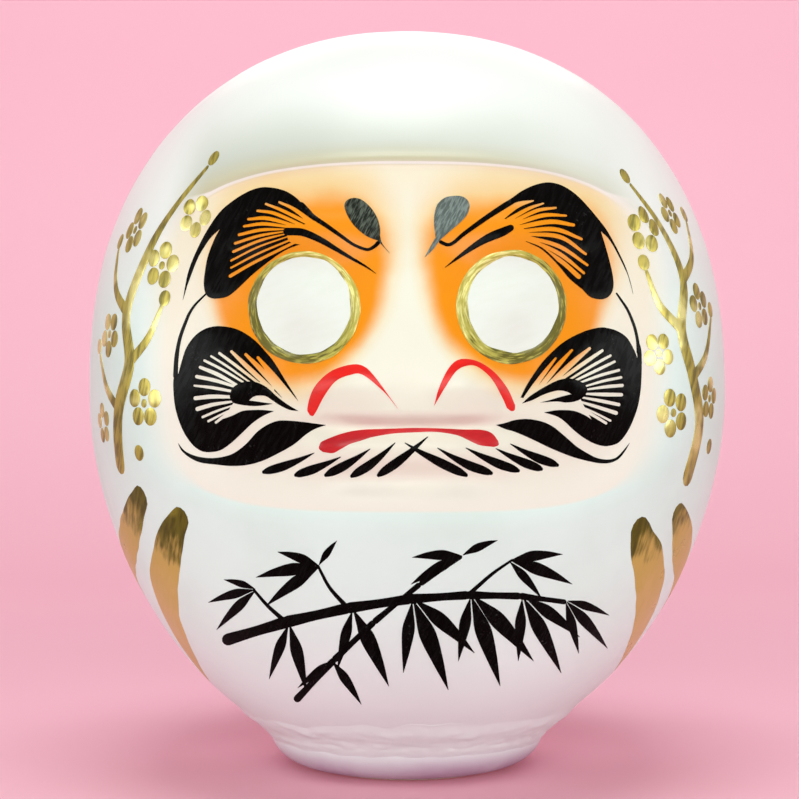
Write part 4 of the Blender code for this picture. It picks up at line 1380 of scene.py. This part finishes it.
# %% Robe stripes
STRIPES = {
    "left_outer": [(-137.5, 128.5, 11), (-150.5, 119.5, 15), (-171.5, 107.5, 17), (-200.7, 94, 15),
                   (-222, 76, 8), (-235, 64, 0.3)],
    "left_inner": [(-110, 121, 10), (-121.5, 111, 16), (-135, 98, 19), (-150, 84, 21), (-163, 66, 18),
                   (-178, 50, 9), (-188, 42, 0.3)],
    "right_inner": [(115.5, 116, 12), (121, 109, 16), (132, 100, 20), (148, 86, 21), (164, 70, 18),
                    (178, 56, 9), (187, 48, 0.3)],
    "right_outer": [(145.5, 121, 11), (154, 114, 15), (167, 105.5, 18), (184, 96, 16), (200, 85, 12),
                    (214, 74, 7), (225, 65, 0.3)],
}
STRIPE_SWAY = (0.7, 9.0)
for name, points in STRIPES.items():
    edge = hand_drawn(stroke(points, step=1.0), *STRIPE_SWAY)
    film(f"robe_stripe_{name}", STRIPE_GOLD, [edge], rise=0.2 * MM, spacing=2.6, carry=wrapped)
print("robe stripes:", len(STRIPES))

# %% Plum branches
PETALS = 5
# Shares of a blossom's radius: how far out its petals are, and the radius of a petal and of the heart
PETAL_REACH, PETAL_SIZE, HEART_SIZE = 0.62, 0.35, 0.17


def blossom(x, y, radius, turn):
    """A five-petalled plum blossom: round petals about a small heart."""
    petals = []
    for petal in range(PETALS):
        angle = turn + 2.0 * math.pi * petal / PETALS
        reach = PETAL_REACH * radius
        middle = (x + reach * math.cos(angle), y + reach * math.sin(angle))
        petals.append(oval_outline(*middle, PETAL_SIZE * radius, PETAL_SIZE * radius, 18))
    return [*petals, oval_outline(x, y, HEART_SIZE * radius, HEART_SIZE * radius, 12)]


# Boughs and twigs as strokes, then blossoms and buds as x, y, radius, turn
WOOD_LEFT = [
    [(-152, 143, 9.5), (-148, 165, 9), (-138, 186, 7.5), (-143, 208, 6.5), (-133, 232, 5.5),
     (-119, 252, 4), (-106, 268, 2)],
    [(-138, 186, 5), (-126, 196, 4), (-119, 210, 2)],
    [(-143, 208, 5), (-158, 219, 4), (-166, 236, 2)],
    [(-147, 166, 5), (-161, 176, 4), (-171, 190, 2)],
]
FLOWERS_LEFT = [(-127, 169, 11, 0.3), (-159, 199, 10.5, 0.9), (-122, 227, 10.5, 0.1),
                (-151, 244, 10.5, 0.6), (-105, 247, 9.5, 1.1), (-168, 160, 9.5, 0.4)]
BUDS_LEFT = [(-118, 213, 3.4), (-167, 240, 3.4), (-173, 194, 3.4), (-104, 272, 3.2), (-132, 148, 3.4)]
WOOD_RIGHT = [
    [(147, 138, 9.5), (152, 160, 9), (144, 180, 7.5), (136, 200, 6.5), (142, 222, 5.5), (132, 244, 4),
     (118, 261, 2)],
    [(144, 180, 5), (158, 190, 4), (168, 206, 2)],
    [(136, 200, 5), (123, 210, 4), (117, 224, 2)],
    [(142, 222, 5), (156, 232, 4), (164, 248, 2)],
]
FLOWERS_RIGHT = [(129, 165, 11, 0.7), (163, 171, 10, 0.2), (120, 190, 9.5, 1.0), (155, 211, 10.5, 0.5),
                 (119, 242, 10.5, 0.2), (146, 251, 9.5, 0.8)]
BUDS_RIGHT = [(169, 210, 3.4), (116, 228, 3.4), (165, 252, 3.4), (116, 265, 3.2), (168, 150, 3.4)]
PLUMS = {"left": (WOOD_LEFT, FLOWERS_LEFT, BUDS_LEFT), "right": (WOOD_RIGHT, FLOWERS_RIGHT, BUDS_RIGHT)}
for side, (wood, flowers, buds) in PLUMS.items():
    loops = [stroke(limb, step=0.8) for limb in wood]
    for flower in flowers:
        loops += blossom(*flower)
    loops += [oval_outline(x, y, radius, radius, 16) for x, y, radius in buds]
    film(f"plum_branch_{side}", GOLD, [], over=loops, spacing=1.2, carry=wrapped)
print("plum blossoms:", len(FLOWERS_LEFT) + len(FLOWERS_RIGHT))

# %% [markdown]
# ## Ink bamboo on the belly
#
# The belly carries black brushwork in bold strokes. Here it is bamboo, another good-luck motif: a long
# jointed branch that arches across the belly, a younger one that crosses it, and hanging leaves that
# swell and end in a point.

# %% Bamboo
LEAF_SHAPE = ((0.0, 0.08), (0.16, 0.5), (0.4, 1.0), (0.7, 0.66), (1.0, 0.03))
LEAF_WIDTH_SHARE = 0.2
LEAF_DROOP = 0.13
STEM_WAIST = 0.84
JOINT_GAP = 2.2


def leaf(x, y, direction, length):
    """A pointed leaf that droops a little. Its direction is in degrees clockwise from the right."""
    angle = math.radians(direction)
    points = []
    for share, width in LEAF_SHAPE:
        reach = length * share
        sag = LEAF_DROOP * length * share * share
        place = (x + reach * math.cos(angle), y + reach * math.sin(angle) + sag)
        points.append((*place, LEAF_WIDTH_SHARE * length * width))
    return stroke(points)


def stem(joints):
    """A jointed stem: one stroke between each pair of joints, a little wider at its ends."""
    parts = []
    for (x0, y0, width), (x1, y1, next_width) in zip(joints, joints[1:]):
        length = math.hypot(x1 - x0, y1 - y0)
        dx, dy = JOINT_GAP * (x1 - x0) / length, JOINT_GAP * (y1 - y0) / length
        middle = ((x0 + x1) / 2.0, (y0 + y1) / 2.0, STEM_WAIST * (width + next_width) / 2.0)
        parts.append(stroke([(x0 + dx, y0 + dy, width), middle, (x1 - dx, y1 - dy, next_width)]))
    return parts


BAMBOO_STEMS = [
    [(226, 640, 12), (286, 622, 12), (348, 608, 11), (410, 599, 10), (468, 595, 8.5), (520, 596, 7),
     (566, 602, 5)],
    [(296, 700, 7.5), (334, 660, 7), (374, 622, 6.5), (420, 584, 5.5), (462, 556, 4)],
]
# Each twig leaves a joint and ends where its leaves spring from
BAMBOO_TWIGS = [
    [(348, 608, 4.5), (330, 588, 3.4), (318, 566, 2.4)], [(286, 622, 4.5), (268, 606, 3.4), (254, 590, 2.4)],
    [(468, 595, 4.2), (492, 574, 3.2), (512, 560, 2.2)],
]
# Leaves as x, y, direction, length
BAMBOO_LEAVES = [
    (288, 626, 112, 50), (290, 626, 74, 60), (352, 612, 106, 52), (354, 611, 62, 74), (412, 603, 98, 62),
    (414, 602, 66, 84), (416, 601, 36, 72), (470, 599, 102, 56), (472, 598, 70, 82), (474, 597, 42, 80),
    (522, 600, 94, 54), (524, 599, 60, 74), (526, 598, 30, 62), (566, 603, 74, 46), (567, 602, 44, 56),
    (568, 601, 12, 42),
    (318, 567, 178, 62), (319, 566, 206, 46), (318, 568, 150, 60), (319, 565, -58, 34),
    (254, 590, 172, 46), (255, 589, 204, 34), (255, 591, 140, 50),
    (462, 556, 186, 50), (461, 557, 158, 54), (463, 555, -30, 40), (512, 560, -14, 52), (512, 561, 14, 62),
    (510, 562, 44, 44),
    (336, 660, 150, 44), (333, 662, 52, 46),
]
loops = [part for joints in BAMBOO_STEMS for part in stem(joints)]
loops += [stroke(twig) for twig in BAMBOO_TWIGS]
loops += [leaf(*values) for values in BAMBOO_LEAVES]
film("ink_bamboo", BLACK, [], over=loops)
print("bamboo leaves:", len(BAMBOO_LEAVES))

# %% [markdown]
# ## Bare paper and clay
#
# Inside, and under the foot, nothing is painted. The seam tapes and the bottom sheet are mulberry
# paper: warm, matt and fibrous. The weight is dried clay, with grit and fine cracks. These solids
# already have the right shape, so they only get a finish.

# %% Finishes of the unpainted pieces
def mulberry_paper():
    """Warm matt paper with darker fibres."""
    material, tree, shader = finish("mulberry_paper")
    paper = effect(tree, laid_paper, Scale=1.6)
    cloudy = ramp(tree, paper["Cloud"], 0.35, 0.65)
    colour = mix_colours(tree, cloudy, srgb(226, 214, 188), srgb(212, 197, 166))
    colour = mix_colours(tree, paper["Speck"], colour, srgb(176, 152, 112))
    tree.links.new(colour, shader.inputs["Base Color"])
    tree.links.new(ramp(tree, paper["Cloud"], 0.3, 0.7, 0.82, 0.95), shader.inputs["Roughness"])
    bump(tree, shader, paper["Height"], 0.0004)
    return material


def dried_clay():
    """Brown clay with grit and shrinkage cracks."""
    material, tree, shader = finish("dried_clay")
    paper = effect(tree, laid_paper, Scale=2.2)
    place = node(tree, "ShaderNodeTexCoord").outputs["Object"]
    cells = node(tree, "ShaderNodeTexVoronoi", {"Vector": place, "Scale": 90.0}, feature="DISTANCE_TO_EDGE")
    crack = ramp(tree, cells.outputs["Distance"], 0.06, 0.0)
    colour = mix_colours(tree, paper["Cloud"], srgb(142, 116, 94), srgb(168, 142, 116))
    colour = mix_colours(tree, crack, colour, srgb(92, 72, 56))
    tree.links.new(colour, shader.inputs["Base Color"])
    tree.links.new(ramp(tree, paper["Height"], 0.3, 0.7, 0.85, 0.98), shader.inputs["Roughness"])
    bump(tree, shader, paper["Height"], 0.0006)
    return material


BARE_PAPERS = ("seam_tape_left", "seam_tape_right", "seam_tape_crown", "bottom_sheet")
PAPER_FINISH = mulberry_paper()
unpainted = {name: PAPER_FINISH for name in BARE_PAPERS}
unpainted["clay_weight"] = dried_clay()
for name, material in unpainted.items():
    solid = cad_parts[name]
    solid.data.materials.clear()
    solid.data.materials.append(material)
print("unpainted pieces:", ", ".join(unpainted))

# %% [markdown]
# ## Studio
#
# The photograph is lit softly from above and from the front, on a pale rose ground that throws some of
# its colour onto the underside of the doll. The floor curves up into a backdrop. Large area lamps give
# soft highlights on the lacquer. The world is pale where it is seen, but it gives only a dim light, so
# that the shadows keep their depth.

# %% Floor and backdrop
FLOOR_HALF_WIDTH = 2.2
FLOOR_FRONT = -2.3
SWEEP_START = 0.9
SWEEP_RADIUS = 0.6
BACKDROP_HEIGHT = 3.0
GROUND_LIFT = 0.12
FLOOR_ROSE = srgb(236, 190, 206)
FLOOR_CLOUD = srgb(234, 186, 202)
SWEEP_STEPS = 12
LIFT_ROSE = (1.0, 0.03, 0.05)


def sweep_line():
    """The floor's line from front to back: flat, then a quarter turn up into the backdrop."""
    line = [(FLOOR_FRONT, 0.0), (SWEEP_START, 0.0)]
    for step in range(1, SWEEP_STEPS + 1):
        angle = math.pi / 2.0 * step / SWEEP_STEPS
        line.append((SWEEP_START + SWEEP_RADIUS * math.sin(angle), SWEEP_RADIUS * (1.0 - math.cos(angle))))
    return [*line, (SWEEP_START + SWEEP_RADIUS, BACKDROP_HEIGHT)]


floor_line = sweep_line()
floor_points = [(x, y, z) for y, z in floor_line for x in (-FLOOR_HALF_WIDTH, FLOOR_HALF_WIDTH)]
floor_faces = [(2 * i, 2 * i + 1, 2 * i + 3, 2 * i + 2) for i in range(len(floor_line) - 1)]
floor_mesh = bpy.data.meshes.new("studio_sweep")
floor_mesh.from_pydata(floor_points, [], floor_faces)
floor_mesh.shade_smooth()
studio_floor = bpy.data.objects.new("studio_sweep", floor_mesh)
bpy.context.scene.collection.objects.link(studio_floor)
paper_ground, ground_tree, ground_shader = finish("rose_paper_ground")
ground_cloud = effect(ground_tree, laid_paper, Scale=0.15)["Cloud"]
ground_colour = mix_colours(ground_tree, ground_cloud, FLOOR_ROSE, FLOOR_CLOUD)
ground_tree.links.new(ground_colour, ground_shader.inputs["Base Color"])
ground_shader.inputs["Roughness"].default_value = 0.9
ground_shader.inputs["Emission Color"].default_value = (*LIFT_ROSE, 1.0)
lift = calculate(ground_tree, "MULTIPLY", seen_directly(ground_tree), GROUND_LIFT)
ground_tree.links.new(lift, ground_shader.inputs["Emission Strength"])
floor_mesh.materials.append(paper_ground)
print("floor with", len(floor_faces), "faces")

# %% Lamps and world
DOLL = (0.0, 0.0, 0.17)
CLEAN_WHITE = (1.0, 1.0, 1.0)
COOL_WHITE = (0.93, 1.0, 0.98)
SKY_ROSE = srgb(250, 236, 240)
SKY_FILL = 0.05
SKY_SEEN = 0.85
# Each lamp: place, what it is aimed at, width, height, power in watts, colour
LAMPS = {
    "overhead_softbox": ((0.0, -0.3, 2.0), (0.0, -0.2, 0.0), 1.1, 0.9, 21.0, COOL_WHITE),
    "low_front_panel": ((0.0, -3.2, 0.85), DOLL, 3.4, 0.9, 62.0, COOL_WHITE),
    "left_panel": ((-2.6, -0.8, 0.5), DOLL, 1.6, 0.7, 18.5, COOL_WHITE),
    "right_panel": ((2.6, -0.8, 0.5), DOLL, 1.6, 0.7, 18.5, COOL_WHITE),
    "rear_panel": ((0.0, 1.3, 1.2), DOLL, 1.2, 0.5, 3.5, COOL_WHITE),
    "backdrop_lamp_left": ((-0.8, 0.6, 0.7), (-0.7, 1.5, 0.5), 0.6, 0.8, 1.0, CLEAN_WHITE),
    "backdrop_lamp_right": ((0.8, 0.6, 0.7), (0.7, 1.5, 0.5), 0.6, 0.8, 1.0, CLEAN_WHITE),
}
for name, (place, target, width, height, power, tint) in LAMPS.items():
    lamp = bpy.data.lights.new(name, "AREA")
    lamp.shape = "RECTANGLE"
    lamp.size, lamp.size_y = width, height
    lamp.energy = power
    lamp.color = tint
    holder = bpy.data.objects.new(name, lamp)
    holder.location = place
    holder.visible_camera = False
    holder.rotation_euler = (Vector(target) - Vector(place)).to_track_quat("-Z", "Y").to_euler()
    bpy.context.scene.collection.objects.link(holder)

world = bpy.data.worlds.new("studio_world")
world.use_nodes = True
world_tree = world.node_tree
sky = world_tree.nodes["Background"]
sky.inputs["Color"].default_value = (*SKY_ROSE, 1.0)
sky_level = ramp(world_tree, seen_directly(world_tree), 0.0, 1.0, SKY_FILL, SKY_SEEN)
world_tree.links.new(sky_level, sky.inputs["Strength"])
bpy.context.scene.world = world
bpy.context.scene.view_settings.view_transform = "Standard"
print("lamps:", ", ".join(LAMPS))
